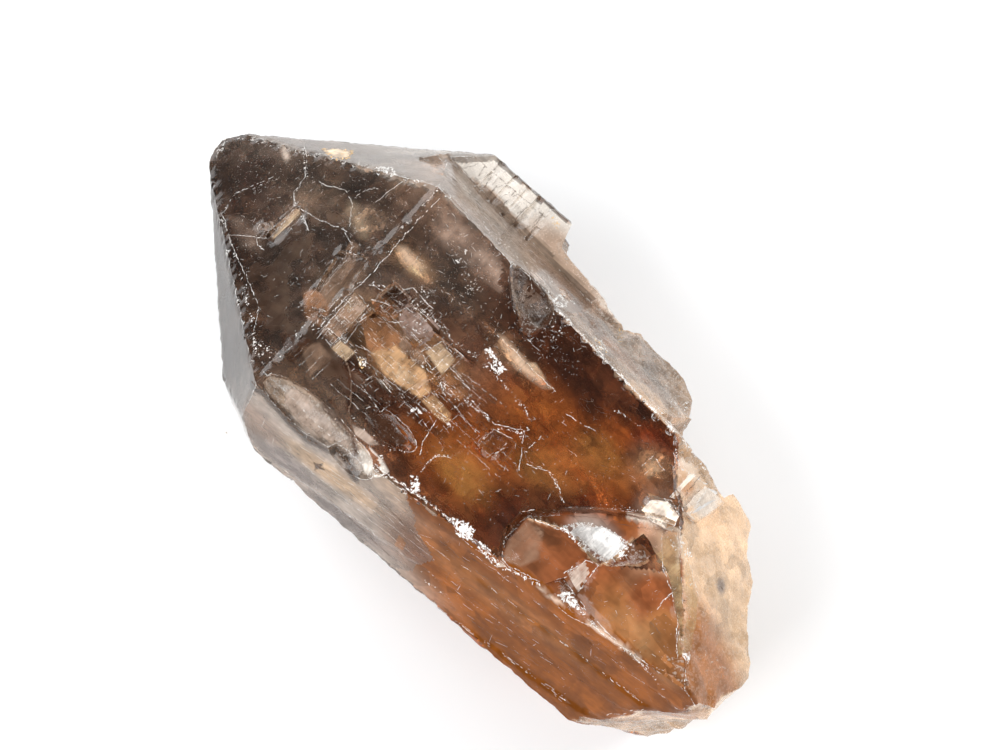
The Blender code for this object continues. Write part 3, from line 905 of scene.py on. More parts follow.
# White bruised lines: the pixels that each runs through, its width in pixels, its grains per pixel and
# the size of its largest grain beside the usual one.
BRUISED_LINES = {
    "right_edge_point": (((438, 186), (470, 214), (506, 246), (530, 268)), 7, 1.6, 0.6),
    "right_edge_pit": (((530, 268), (552, 284), (575, 305)), 3, 1.5, 0.7),
    "right_edge_middle": (
        (
            (548, 292), (557, 309), (571, 323), (588, 342), (607, 362), (622, 377), (640, 396), (657, 413),
            (675, 432),
        ),
        2.5, 6.0, 0.65,
    ),
    "right_edge_low": (((675, 432), (676, 452), (680, 468), (694, 476), (706, 484)), 2.5, 3.0, 0.6),
    "right_edge_root": (((650, 398), (680, 436), (706, 472)), 2.5, 2.0, 0.7),
    "point_base": (((438, 186), (424, 206), (405, 226), (390, 248), (372, 270), (352, 290)), 3, 0.6, 0.4),
    "point_base_low": (
        ((352, 290), (330, 305), (318, 318), (300, 330), (285, 345), (262, 375)), 7, 1.0, 0.45,
    ),
    "point_right": (
        ((235, 137), (290, 150), (320, 158), (350, 163), (385, 170), (412, 178), (438, 186)), 4, 0.9, 0.5,
    ),
    "point_left": (
        ((216, 205), (224, 222), (232, 245), (240, 275), (247, 305), (252, 330), (256, 360)), 3, 1.0, 0.5,
    ),
    "point_left_low": (((244, 280), (247, 305), (252, 322)), 7, 2.4, 0.6),
    "tip_crack": (
        ((303, 153), (305, 165), (306, 178), (296, 192), (294, 198), (297, 208), (308, 230)), 3, 1.6, 0.45,
    ),
    "tip_crack_low": (((297, 208), (283, 222), (270, 238), (250, 236), (238, 232)), 2, 0.9, 0.4),
    "tip_wedge": (((296, 210), (288, 218), (280, 227), (272, 236)), 4, 2.5, 0.5),
    "tip_scratch": (((276, 178), (255, 188), (235, 193), (222, 215)), 1.5, 1.0, 0.35),
    "point_band": (((355, 225), (353, 240), (345, 258), (332, 272), (318, 290), (305, 303)), 5, 1.2, 0.4),
    "window_top": (((370, 283), (384, 286), (408, 296), (425, 312), (441, 328), (455, 342)), 4, 1.4, 0.5),
    "window_right": (((455, 342), (475, 356), (495, 374), (510, 392), (525, 408), (530, 420)), 5, 1.5, 0.5),
    "window_low": (((356, 356), (378, 372), (395, 392), (412, 405), (432, 412), (450, 425)), 3, 0.9, 0.45),
    "window_mid": (((400, 350), (420, 362), (440, 380), (455, 395), (470, 405), (490, 420)), 6, 1.6, 0.5),
    "lens_rim": (((352, 415), (362, 430), (378, 442), (392, 450), (405, 452), (415, 445)), 3, 0.8, 0.4),
    "left_rim": (
        ((262, 372), (276, 380), (290, 395), (302, 410), (318, 425), (336, 440), (352, 455)), 4, 0.9, 0.4,
    ),
    "left_rim_outer": (((268, 396), (282, 412), (300, 430), (318, 440), (336, 450), (350, 462)), 3, 0.7, 0.4),
    "mid_crack": (((476, 450), (484, 438), (495, 428), (508, 430), (522, 434), (528, 428)), 3, 1.6, 0.45),
    "mid_crack_down": (
        ((521, 434), (523, 448), (527, 460), (540, 467), (550, 472), (556, 484), (562, 500)), 2.5, 1.3, 0.4,
    ),
    "left_crack": (((421, 472), (428, 462), (436, 455), (444, 456), (451, 458)), 2, 1.6, 0.4),
    "left_edge": (
        ((385, 472), (398, 482), (412, 490), (430, 504), (446, 516), (460, 530), (476, 545), (490, 560)),
        4, 1.5, 0.6,
    ),
    "first_rim": (((497, 568), (510, 570), (524, 577), (540, 585)), 4, 3.0, 0.7),
    "first_top": (((500, 548), (512, 530), (528, 516)), 2, 1.0, 0.4),
    "first_right": (((528, 516), (545, 522), (562, 530), (575, 536)), 3, 1.5, 0.4),
    "second_edge": (((580, 610), (596, 626), (612, 640), (628, 652), (646, 668), (664, 690)), 3.5, 1.6, 0.5),
    "hollow_rim": (((528, 516), (550, 513), (575, 511), (600, 508), (625, 508), (640, 512)), 5, 1.0, 0.4),
    "second_top": (((668, 536), (676, 548), (684, 562), (692, 590)), 5, 1.4, 0.5),
    "root_low_edge": (((685, 655), (706, 655), (720, 668), (738, 672), (745, 660)), 6, 0.8, 0.5),
    "root_side": (((746, 520), (752, 545), (750, 590), (752, 640)), 6, 0.7, 0.5),
    "bulge_end": (((672, 400), (680, 415), (688, 402), (684, 430)), 8, 2.2, 0.6),
    "ring": (((412, 322), (419, 318), (426, 325), (422, 334), (414, 332), (412, 322)), 2, 1.6, 0.45),
    "white_chip": (((457, 262), (462, 256), (466, 250)), 4, 4.0, 0.6),
    "shell_line_1": (((526, 300), (534, 310), (541, 318)), 1.6, 2.4, 0.45),
    "shell_line_2": (((532, 299), (540, 308), (546, 316)), 1.6, 2.4, 0.45),
    "shell_line_3": (((537, 296), (543, 303), (549, 311)), 1.6, 2.0, 0.45),
    "left_scratch": (((424, 580), (440, 592), (455, 602), (462, 608)), 3, 1.0, 0.45),
    "low_chip": (((418, 605), (428, 613), (440, 622), (450, 632)), 4, 2.0, 0.6),
    "second_scratch": (((655, 610), (664, 600), (676, 592)), 1.5, 1.0, 0.4),
    "square": (((478, 449), (500, 428), (520, 432), (520, 440)), 1.5, 0.8, 0.35),
    "diagonal": (((610, 408), (622, 414), (640, 426)), 2, 1.0, 0.35),
}

# Snowy patches: the outline in pixels, the grains in it and the size of its largest grain.
SNOWY_PATCHES = {
    "between_crystals": (
        (
            (558, 527), (580, 522), (600, 524), (614, 532), (632, 545), (626, 558), (606, 563), (588, 554),
            (574, 541),
        ),
        2200, 0.55,
    ),
    "beside_first": (((480, 541), (490, 545), (500, 562), (497, 569), (484, 556)), 90, 0.8),
    "left_corner": (((452, 518), (464, 521), (476, 532), (470, 541), (456, 534)), 230, 1.0),
    "left_middle": (((410, 474), (418, 476), (420, 492), (412, 492)), 80, 0.8),
    "step_corner": (((556, 594), (574, 592), (580, 612), (570, 606)), 190, 0.9),
    "fan": (((358, 452), (366, 448), (372, 462), (382, 452), (386, 478), (368, 476)), 190, 0.6),
    "pit_rim": (((552, 300), (560, 294), (568, 302), (566, 308), (556, 306)), 150, 0.9),
    "edge_mark": (((592, 336), (600, 338), (608, 352), (598, 350)), 90, 0.8),
    "point_top": (((374, 166), (392, 167), (398, 176), (382, 172)), 120, 0.8),
    "window_chip": (((484, 350), (490, 348), (506, 370), (498, 376), (488, 362)), 170, 0.8),
    "left_window_chip": (((358, 360), (366, 358), (366, 366), (360, 366)), 60, 0.5),
    "low_window_chip": (((410, 408), (418, 408), (422, 414), (414, 414)), 60, 0.6),
    "low_window_rim": (((428, 402), (434, 404), (450, 424), (456, 430), (446, 424)), 70, 0.5),
    "speckled_window": (((540, 332), (556, 318), (566, 326), (554, 350)), 70, 0.35),
    "point_corner": (((248, 336), (262, 340), (276, 352), (262, 366), (252, 352)), 70, 0.6),
    "between_faces": (((296, 306), (312, 300), (330, 318), (316, 334)), 70, 0.5),
    "second_top": (((668, 540), (684, 542), (694, 556), (680, 560)), 110, 0.7),
    "second_low": (((680, 652), (692, 656), (688, 664)), 40, 0.8),
    "tip_round": (((212, 142), (222, 134), (228, 142), (216, 160)), 60, 0.6),
    "speckles_top": (((460, 272), (478, 276), (482, 292), (466, 296)), 50, 0.35),
    "speckles_left": (((420, 285), (436, 290), (436, 306), (420, 304)), 50, 0.4),
    "speckles_low": (((440, 380), (456, 386), (452, 398), (438, 392)), 50, 0.5),
    "ring_heart": (((414, 322), (422, 320), (424, 330), (416, 332)), 50, 0.6),
}

# Rusty stains: the outline in pixels, the grains in it and the size of its largest grain.
RUSTY_PATCHES = {
    "point": (((322, 148), (352, 150), (356, 158), (336, 160), (326, 154)), 170, 0.9),
    "edge": (((592, 336), (602, 344), (608, 354), (598, 348)), 40, 0.7),
    "left_window": (((357, 358), (364, 358), (366, 366), (360, 370)), 60, 0.45),
    "low_window": (((438, 406), (446, 412), (452, 422), (444, 418)), 70, 0.45),
    "ledge": (((552, 216), (560, 224), (558, 230), (551, 222)), 30, 0.6),
    "flank": (((616, 326), (624, 330), (624, 344), (618, 346)), 40, 0.6),
    "corner": (((642, 504), (652, 500), (652, 510), (644, 512)), 50, 0.5),
}


# Thin white cracks and the rims of growth steps: the pixels that each runs through.
WHITE_LINES = {
    "tip_ridge": ((234, 194), (259, 183), (274, 177)),
    "tip_ridge_low": ((234, 194), (226, 210), (223, 214)),
    "point_edge": ((222, 213), (232, 246), (245, 274), (255, 295), (259, 309), (255, 322), (253, 347)),
    "tip_crack": ((305, 147), (307, 160), (305, 177), (294, 192), (294, 204), (298, 208)),
    "tip_shelf": ((230, 235), (245, 236), (270, 239)),
    "tip_fork": ((257, 238), (258, 246), (264, 250)),
    "wedge_low": ((270, 238), (283, 222), (296, 207)),
    "wedge_high": ((274, 241), (288, 225), (301, 212), (309, 230)),
    "net_one": ((354, 198), (369, 189), (379, 189)),
    "net_two": ((375, 202), (388, 192), (403, 181)),
    "net_three": ((298, 208), (312, 216), (330, 224), (350, 232)),
    "net_four": ((316, 181), (330, 186), (345, 190), (352, 202), (350, 226)),
    "net_five": ((345, 232), (352, 246), (345, 262)),
    "point_base": (
        (440, 198), (421, 217), (405, 235), (388, 255), (369, 276), (354, 290), (337, 307), (320, 328),
        (312, 330),
    ),
    "band_low": ((308, 305), (325, 285), (345, 262), (354, 246)),
    "window_top": ((369, 284), (392, 295), (398, 303), (417, 309), (432, 322), (449, 330)),
    "striped_left": ((325, 326), (340, 310), (354, 295)),
    "striped_right": ((346, 343), (358, 325), (369, 305)),
    "striped_low": ((325, 326), (346, 343)),
    "warm_panel": ((371, 299), (398, 307), (403, 322), (379, 322)),
    "dark_panel": ((388, 295), (413, 288), (432, 309), (417, 314), (388, 295)),
    "ring": ((413, 322), (419, 317), (427, 322), (428, 330), (420, 334), (413, 329), (413, 322)),
    "window_low": ((355, 345), (380, 356), (403, 378), (425, 400), (446, 418)),
    "window_high": ((403, 326), (432, 350), (455, 372), (470, 390)),
    "small_window": ((421, 352), (442, 341), (451, 352), (432, 370), (421, 352)),
    "stepped": ((471, 406), (486, 414), (494, 424), (526, 431), (530, 429)),
    "middle_crack": ((523, 435), (522, 453), (519, 471)),
    "middle_branch": ((526, 464), (547, 471), (557, 484), (565, 503)),
    "square_side": ((478, 445), (494, 429), (515, 440)),
    "square_low": ((486, 457), (505, 448)),
    "left_hooks": ((427, 463), (437, 456), (450, 458)),
    "first_left": ((502, 558), (505, 539), (528, 516)),
    "first_top": ((528, 516), (545, 524), (562, 530)),
    "first_low": ((502, 558), (507, 566), (523, 573), (541, 582)),
    "step_facet": STEP_FACET,
    "second_right": ((662, 534), (662, 565), (672, 592), (677, 618), (677, 657)),
    "strip_right": ((675, 534), (690, 565), (698, 597)),
    "second_left": ((583, 615), (600, 632), (630, 652), (650, 675)),
    "five_sides": ((641, 510), (651, 500), (667, 501), (679, 516), (675, 526)),
    "four_sides": ((688, 516), (709, 487), (723, 492), (717, 500)),
    "light_bar": ((675, 499), (670, 497), (690, 473), (696, 474)),
    "patch": ((641, 466), (654, 456), (664, 471)),
    "right_edge": (
        (511, 262), (530, 276), (548, 294), (557, 309), (571, 323), (588, 342), (607, 362), (622, 377),
        (657, 413), (675, 432),
    ),
    "long_flash": ((497, 335), (515, 352), (535, 372), (556, 392)),
    "left_rim": ((262, 372), (290, 395), (318, 425), (352, 455), (368, 470)),
    "left_edge": ((372, 462), (392, 478), (412, 492), (430, 504), (452, 520), (470, 537), (490, 560)),
    "pit_one": ((522, 262), (530, 274), (532, 290), (545, 300)),
    "pit_two": ((528, 258), (540, 270), (545, 286), (556, 297)),
    "pit_three": ((536, 262), (548, 276), (553, 290)),
    "long_scratch": ((436, 420), (424, 440), (420, 455)),
    "slant_one": ((566, 414), (582, 424), (598, 432)),
    "slant_two": ((528, 448), (538, 440), (541, 436)),
    "second_scratch": ((655, 612), (664, 600), (676, 588)),
}

# Thin dark cracks and seams, the same way; tip_shadow, rim_shadow and hollow_rim are painted shadow, along
# rims and in the hollow above the small crystals.
DARK_LINES = {
    "ledge_side": ((451, 157), (468, 175), (489, 200), (510, 219), (530, 244)),
    "ledge_one": ((474, 157), (485, 166), (478, 176)),
    "ledge_two": ((499, 163), (491, 176), (483, 190)),
    "ledge_three": ((497, 185), (487, 200)),
    "ledge_four": ((516, 190), (505, 203), (500, 213)),
    "ledge_five": ((530, 204), (518, 216), (512, 224)),
    "ledge_six": ((543, 214), (536, 224), (528, 236)),
    "ledge_rim": ((485, 166), (500, 178), (516, 192), (532, 206), (546, 218)),
    "strip_one": ((440, 168), (456, 182), (470, 196)),
    "strip_two": ((478, 206), (496, 222), (512, 238)),
    "strip_three": ((520, 248), (540, 262), (556, 276)),
    "strip_four": ((560, 270), (580, 290), (596, 312)),
    "side_crack": ((384, 505), (395, 515), (404, 523), (412, 532)),
    "side_star": ((312, 462), (318, 466), (324, 470)),
    "side_star_cross": ((318, 461), (318, 466), (316, 472)),
    "side_one": ((262, 396), (285, 415), (310, 438)),
    "side_two": ((300, 448), (330, 476), (360, 500)),
    "side_three": ((355, 480), (385, 505), (410, 530), (430, 548)),
    "side_four": ((330, 500), (360, 528), (390, 556)),
    "side_five": ((440, 540), (470, 566), (500, 590)),
    "side_six": ((470, 620), (510, 648), (550, 672)),
    "side_seven": ((520, 610), (560, 640), (600, 672), (620, 690)),
    "tip_shadow": ((222, 216), (240, 213), (262, 214)),
    "tip_eye": ((254, 224), (262, 219), (270, 223), (267, 231), (257, 230)),
    "rim_shadow": ((262, 376), (288, 400), (316, 430), (350, 462)),
    "lens_rim": ((352, 408), (372, 405), (395, 418), (414, 440), (402, 450), (380, 440)),
    "square_rim": ((480, 447), (496, 431), (516, 443), (503, 462), (480, 447)),
    "hollow_rim": ((560, 515), (600, 518), (630, 526), (660, 530)),
    "bar_rim": ((680, 502), (700, 476), (708, 484)),
    "root_spot": ((720, 586), (723, 590)),
    "second_spot": ((650, 622), (656, 628), (660, 634)),
}

# Sets of fine ruled lines, light and dark by turns, where growth steps are crowded, partly the steps' own
# lines and partly their painted highlights and painted shade: the ends of the first line and of the last in
# pixels, and how many lines there are.
RULED_LINES = {
    "striped": (((320, 325), (352, 293)), ((337, 345), (371, 307)), 15),
    "striped_low": (((328, 350), (342, 337)), ((342, 364), (356, 350)), 7),
    "beside_striped": (((372, 302), (384, 292)), ((392, 318), (404, 308)), 7),
    "dark_panels": (((386, 296), (398, 287)), ((414, 318), (430, 306)), 11),
    "warm_plate": (((372, 308), (428, 362)), ((388, 300), (444, 346)), 6),
    "ringed_plate": (((432, 348), (446, 336)), ((452, 368), (464, 356)), 7),
    "window": (((352, 350), (430, 414)), ((372, 336), (456, 402)), 6),
    "window_end": (((446, 380), (486, 414)), ((462, 372), (502, 404)), 5),
    "left_windows": (((286, 352), (302, 336)), ((312, 380), (330, 362)), 9),
    "under_windows": (((330, 384), (396, 440)), ((346, 372), (412, 424)), 6),
    "point_plates": (((306, 300), (344, 262)), ((318, 310), (356, 272)), 4),
    "middle_plates": (((440, 424), (500, 478)), ((456, 412), (516, 464)), 5),
    "ledge": (((456, 162), (478, 156)), ((530, 238), (550, 218)), 13),
    "long_side": (((300, 462), (420, 560)), ((330, 468), (450, 560)), 5),
}

# Wide dark bands, the same way: painted shade in the left groove and above it, and the dark rim crack.
GROOVES = {
    "left_groove": LEFT_GROOVE,
    "left_groove_high": ((258, 384), (272, 398), (285, 414), (296, 427)),
    "rim_crack": RIM_CRACK,
}

# Panels that show in or on the quartz: films of other tones, and painted reflections, glows and shade where
# growth steps and inner planes catch the light, as marked below; the outline in pixels, the colour, how much
# they cover and how far in their rims fade, in millimetres.
PANELS = {
    "striped": (((320, 332), (353, 293), (367, 306), (333, 345)), PLATE_ROSE, 0.6, 0.1),
    "striped_light": (((342, 306), (354, 292), (368, 306), (356, 320)), PLATE_SAND, 0.4, 0.5),
    "striped_foot": (((330, 348), (340, 340), (356, 352), (346, 362)), PLATE_SAND, 0.45, 0.1),
    "rusty": (((371, 301), (387, 300), (400, 315), (392, 322), (376, 314)), PLATE_RUST, 0.6, 0.1),
    "dark": (((385, 294), (397, 287), (410, 300), (402, 310)), UMBER, 0.75, 0.2),
    "dark_low": (((402, 310), (410, 300), (432, 309), (425, 316)), UMBER, 0.55, 0.4),
    "ringed": (((396, 308), (410, 298), (441, 328), (418, 348), (402, 330)), PLATE_DUSK, 0.7, 0.15),
    "plate_one": (((361, 320), (382, 316), (404, 336), (396, 352), (368, 352)), PLATE_RUST, 0.4, 0.15),
    # plate_two and plate_light are the painted amber reflection of the window.
    "plate_two": (
        ((368, 352), (396, 344), (426, 370), (432, 392), (420, 400), (384, 376)), PLATE_HONEY, 0.6, 0.4,
    ),
    "plate_light": (((380, 366), (398, 358), (418, 376), (414, 390), (392, 380)), PLATE_SAND, 0.55, 0.8),
    "plate_three": (((425, 352), (441, 342), (456, 360), (442, 376)), PLATE_SAND, 0.55, 0.1),
    "plate_four": (((404, 332), (418, 346), (430, 362), (418, 366), (398, 346)), PLATE_ROSE, 0.5, 0.1),
    "plate_five": (((436, 376), (448, 372), (470, 396), (458, 402)), PLATE_RUST, 0.45, 0.3),
    "plate_end": (((420, 400), (434, 394), (452, 414), (448, 426), (434, 416)), PLATE_HONEY, 0.5, 0.3),
    "left_of_striped": (((302, 292), (316, 288), (332, 306), (320, 328), (304, 318)), PLATE_RUST, 0.35, 0.8),
    "window_lens": (((391, 391), (404, 387), (418, 397), (413, 405), (397, 402)), UMBER, 0.8, 0.4),
    "left_striped": (((300, 347), (320, 341), (334, 358), (310, 377)), PLATE_ROSE, 0.34, 0.3),
    "left_dark": (((280, 333), (314, 341), (302, 356), (290, 366)), UMBER, 0.55, 0.6),
    "left_plate_dark": (((322, 356), (350, 362), (352, 400), (330, 392), (316, 376)), UMBER, 0.35, 0.8),
    "band": (((308, 305), (340, 264), (352, 238), (361, 246), (348, 276), (320, 311)), PLATE_ROSE, 0.28, 0.4),
    # glow, top_glow, long_flash and long_flash_end are painted reflections of the mirroring cracks under them.
    "glow": (((346, 198), (358, 200), (374, 226), (370, 244), (356, 240), (343, 216)), SAND, 0.14, 2.2),
    "top_glow": (((393, 244), (407, 244), (430, 268), (420, 278), (400, 264)), DUNE, 0.45, 2.0),
    "long_flash": (
        ((496, 332), (504, 334), (530, 362), (556, 390), (542, 390), (515, 370), (502, 352)), DUNE, 0.6, 1.4,
    ),
    "long_flash_end": (((524, 362), (536, 362), (548, 380), (540, 384)), SAND, 0.3, 0.6),
    "square": (((478, 445), (494, 429), (515, 443), (502, 462)), UMBER, 0.3, 0.2),
    "lens": (((352, 412), (368, 408), (395, 418), (414, 440), (402, 450), (380, 440)), UMBER, 0.8, 1.0),
    "lens_light": (((351, 424), (365, 430), (380, 445), (370, 446), (355, 435)), PLATE_GREY, 0.7, 0.2),
    "rim_plate": (
        (
            (286, 388), (298, 389), (316, 405), (336, 427), (350, 442), (350, 449), (322, 438), (301, 425),
            (284, 404),
        ),
        PLATE_GREY, 0.65, 0.3,
    ),
    "rim_brown": (((318, 404), (334, 398), (346, 424), (350, 440), (336, 426)), UMBER, 0.55, 0.5),
    "star": (
        ((313, 461), (318, 464), (324, 463), (321, 467), (325, 470), (318, 469), (314, 471), (315, 466)),
        UMBER, 0.6, 0.1,
    ),
    "fan": (((358, 450), (370, 446), (384, 460), (390, 472), (380, 478), (364, 474)), CREAM, 0.6, 0.5),
    # A dark film over the pit: painted shade.
    "pit": (
        (
            (513, 267), (521, 268), (538, 284), (551, 302), (556, 318), (550, 330), (535, 324), (520, 305),
            (512, 285),
        ),
        UMBER, 0.75, 0.6,
    ),
    "pit_shelf": (
        ((528, 270), (536, 272), (552, 290), (556, 300), (546, 298), (534, 284)), PALE_GREY, 0.45, 0.3,
    ),
    "first_side": (
        ((503, 560), (507, 541), (528, 520), (545, 530), (540, 560), (520, 568)), GREY_BROWN, 0.3, 0.4,
    ),
    "first_dark": (((528, 520), (562, 532), (566, 545), (548, 548), (538, 536)), UMBER, 0.3, 0.6),
    "step": (STEP_FACET, PALE_GREY, 0.45, 0.2),
    "small_step": (((497, 567), (502, 559), (507, 567)), PALE_GREY, 0.6, 0.1),
    "frost": (
        (
            (566, 531), (580, 525), (598, 527), (612, 535), (627, 546), (622, 554), (606, 560), (592, 551),
            (580, 540),
        ),
        WHITE, 0.97, 0.6,
    ),
    "frost_core": (
        ((590, 528), (604, 527), (618, 535), (628, 547), (622, 557), (606, 560), (594, 548)), WHITE, 1.0, 0.3,
    ),
    "haze": (
        ((438, 203), (462, 212), (500, 252), (530, 282), (552, 312), (520, 312), (470, 272), (428, 236)),
        HAZE, 0.36, 3.0,
    ),
    "haze_point": (((225, 215), (245, 214), (268, 232), (262, 258), (240, 250)), HAZE, 0.2, 2.0),
    # The three amber glows are painted light through the amber quartz.
    "glow_left": (((420, 428), (470, 420), (500, 440), (500, 500), (470, 500), (430, 470)), AMBER, 0.22, 4.0),
    "glow_middle": (
        ((520, 436), (580, 432), (610, 455), (600, 495), (560, 500), (530, 480)), AMBER, 0.26, 4.0,
    ),
    "glow_right": (((600, 462), (640, 455), (655, 480), (630, 500), (604, 492)), AMBER, 0.2, 3.0),
    "five_sides": (
        ((641, 510), (651, 500), (667, 501), (679, 516), (675, 526), (652, 519)), SHELL_PINK, 0.97, 0.1,
    ),
    "four_sides": (((690, 514), (708, 488), (718, 493), (714, 501), (693, 514)), WHITE, 0.97, 0.1),
    "light_bar": (((670, 497), (690, 473), (696, 474), (675, 499)), SHELL_PINK, 0.85, 0.1),
    # A painted reflection of the warm crack under it.
    "patch": (((641, 466), (654, 456), (664, 471), (647, 482)), SAND, 0.2, 1.0),
    "strip": (
        (
            (663, 536), (675, 534), (690, 565), (698, 597), (692, 650), (678, 656), (677, 618), (672, 592),
            (662, 565),
        ),
        OLIVE, 0.35, 0.3,
    ),
    "olive": (((598, 612), (640, 598), (664, 634), (664, 668), (622, 654)), OLIVE, 0.12, 4.0),
    # A painted glow under the iron stain at the point.
    "rusty_glow": (((320, 150), (340, 148), (352, 152), (350, 159), (334, 158)), SAND, 0.85, 1.2),
    "tip_streak": (((279, 142), (287, 143), (292, 158), (286, 166), (281, 156)), PALE_GREY, 0.35, 0.8),
    "wedge": (((271, 238), (283, 223), (296, 209), (301, 214), (288, 226), (274, 240)), SAND, 0.5, 0.3),
}


def inside(outline, pixel):
    """Whether the pixel lies within the outline."""
    x, y = pixel
    odd = False
    for (ax, ay), (bx, by) in zip(outline, outline[1:] + outline[:1]):
        if (ay > y) != (by > y) and x < (bx - ax) * (y - ay) / (by - ay) + ax:
            odd = not odd
    return odd


def ruled_lines(first):
    """Every second line of each ruled set, from the first one counted on, as pixels."""
    lines = []
    for start, end, count in RULED_LINES.values():
        for number in range(first, count, 2):
            share = number / (count - 1)
            lines.append([tuple(a + (b - a) * share for a, b in zip(*pair)) for pair in zip(start, end)])
    return lines


# Length of a stroke and how far it wanders from its line, in pixels, and the share of strokes left out.
STROKE, WANDER, GAPS = 3.2, 1.6, 0.14
# Widths of ruled lines and grooves beside that of a thin crack.
PALE_RULE, DARK_RULE, GROOVE = 0.5, 0.7, 3.2


def strokes_along(tree, draw, pixels, width):
    """Slivers laid end to end on the surface along a line of pixels, with small gaps."""
    places = []
    for (ax, ay), (bx, by) in zip(pixels, pixels[1:]):
        length = math.hypot(bx - ax, by - ay)
        count = max(1, round(length / STROKE))
        ends = seen_at(tree, (ax, ay)), seen_at(tree, (bx, by))
        if None in ends:
            continue
        forward = ends[1][0] - ends[0][0]
        for step in range(count):
            share = (step + 0.5) / count
            x, y = ax + (bx - ax) * share, ay + (by - ay) * share
            wobble = noise.noise(Vector((x / 7.0, y / 7.0, 9.0))) * WANDER
            pixel = (x - (by - ay) / length * wobble, y + (bx - ax) / length * wobble)
            found = seen_at(tree, pixel)
            if found is None or draw.random() < GAPS:
                continue
            half = forward.length / count * draw.uniform(0.45, 0.75)
            thick = width * (0.5 + draw.random())
            turn = math.radians(draw.normal(0.0, 7.0))
            place = found[0] + found[1] * LIFT
            places.append(laid(place, found[1], forward, (half, thick, thick * 0.5), turn))
    return places


class QUARTZ_OT_bruises(bpy.types.Operator):
    """Add the white bruises, the frost, the pale and dark lines, with the painted highlights and painted shade
    among them, and the iron stains
    """

    bl_idname = "quartz.bruises"
    bl_label = "Bruises, frost, lines and stains"

    def execute(self, context):
        settings = context.scene.quartz_marks
        tree = tree_of(bpy.data.objects["crystal"])
        draw = np.random.default_rng(BRUISE_DRAW)
        places = []
        for pixels, width, crowd, size in BRUISED_LINES.values():
            places += self.along_line(tree, draw, pixels, width, crowd, size * settings.bruise)
        lines = []
        for pixels in WHITE_LINES.values():
            lines += strokes_along(tree, draw, pixels, settings.line)
        # The light ruled lines are partly painted highlights of the steps.
        for pixels in ruled_lines(0):
            lines += strokes_along(tree, draw, pixels, settings.line * PALE_RULE)
        places += self.along_edges(tree, draw, settings.line)
        self.grains("bruises", places, GRAINS, "bruised_quartz", settings.white)
        self.grains("pale_lines_and_highlights", lines, GRAINS, "pale_line_and_highlight", settings.white)
        places = []
        for outline, count, size in SNOWY_PATCHES.values():
            places += self.in_patch(tree, draw, outline, count, size * settings.bruise)
        self.grains("frost", places, GRAINS, "frosted_quartz", settings.white)
        places = []
        for outline, count, size in RUSTY_PATCHES.values():
            places += self.in_patch(tree, draw, outline, count, size * settings.bruise)
        self.grains("iron_stains", places, STAIN_GRAINS, "iron_stain", settings.rust)
        places = []
        for pixels in DARK_LINES.values():
            places += strokes_along(tree, draw, pixels, settings.line)
        # The dark ruled lines are partly painted shade of the steps; the wide grooves are painted shade, all
        # but the rim crack.
        for pixels in ruled_lines(1):
            places += strokes_along(tree, draw, pixels, settings.line * DARK_RULE)
        for pixels in GROOVES.values():
            places += strokes_along(tree, draw, pixels, settings.line * GROOVE)
        self.grains("seams_and_painted_shade", places, SEAM_GRAINS, "seam_and_painted_shade", settings.seam)
        return {"FINISHED"}

    def grains(self, name, places, seeds, finish, colour):
        """One piece with a grain at each place."""
        kinds = [flake(f"grain_{seed}", (1.0, 0.75, 0.42), seed) for seed in seeds]
        joined_copies(name, kinds, places, chalky(finish, colour))

    def along_edges(self, tree, draw, width):
        """White slivers and grains along the sharp edges, in runs, where the crystal was knocked."""
        places = []
        for start, end in sharp_edges():
            forward = end - start
            for _ in range(math.ceil(forward.length / (0.45 * MM))):
                place = start.lerp(end, draw.random())
                if noise.noise(place / (2.6 * MM)) + 0.5 * noise.noise(place / (9.0 * MM)) < 0.02:
                    continue
                place, normal, _, _ = tree.find_nearest(place)
                half = 0.42 * MM * draw.random() ** 1.5 + width
                thick = width * (0.4 + 0.9 * draw.random())
                sizes = (half, thick, thick * 0.6)
                places.append(laid(place, normal, forward, sizes, draw.normal(0.0, 0.12)))
        return places

    def grain_at(self, tree, draw, pixel, forward, largest):
        """A grain laid on the surface at a pixel, smaller ones more often."""
        found = seen_at(tree, pixel)
        if found is None:
            return []
        size = largest * (0.22 + 0.78 * draw.random() ** 2.5)
        stretch = 1.0 + 1.2 * draw.random() ** 2
        sizes = (size * stretch, size * draw.uniform(0.5, 0.9), size * draw.uniform(0.35, 0.7))
        return [laid(found[0], found[1], forward, sizes, draw.uniform(0, math.pi))]

    def along_line(self, tree, draw, pixels, width, crowd, largest):
        """Grains crowded round a line, in bursts as a knocked edge has them."""
        places = []
        for (ax, ay), (bx, by) in zip(pixels, pixels[1:]):
            length = math.hypot(bx - ax, by - ay)
            ahead = sight_line((bx, by))[1] - sight_line((ax, ay))[1]
            for _ in range(round(length * crowd * 0.7)):
                share = draw.random()
                x, y = ax + (bx - ax) * share, ay + (by - ay) * share
                burst = noise.noise(Vector((x / 9.0, y / 9.0, 3.0)))
                if burst < -0.12 - 0.3 * draw.random():
                    continue
                off = draw.normal(0.0, width * (0.22 + 0.3 * max(0.0, burst)))
                pixel = (x - (by - ay) / length * off, y + (bx - ax) / length * off)
                places += self.grain_at(tree, draw, pixel, ahead, largest)
        return places

    def in_patch(self, tree, draw, outline, count, largest):
        """Grains scattered over a patch, thinner toward its rim."""
        low, high = np.min(outline, axis=0), np.max(outline, axis=0)
        places, tries = [], 0
        while len(places) < count and tries < count * 12:
            tries += 1
            pixel = draw.uniform(low, high)
            if inside(outline, pixel) and noise.noise(Vector((*pixel / 4.0, 0.5))) > -0.25:
                places += self.grain_at(tree, draw, pixel, ALONG, largest)
        return places


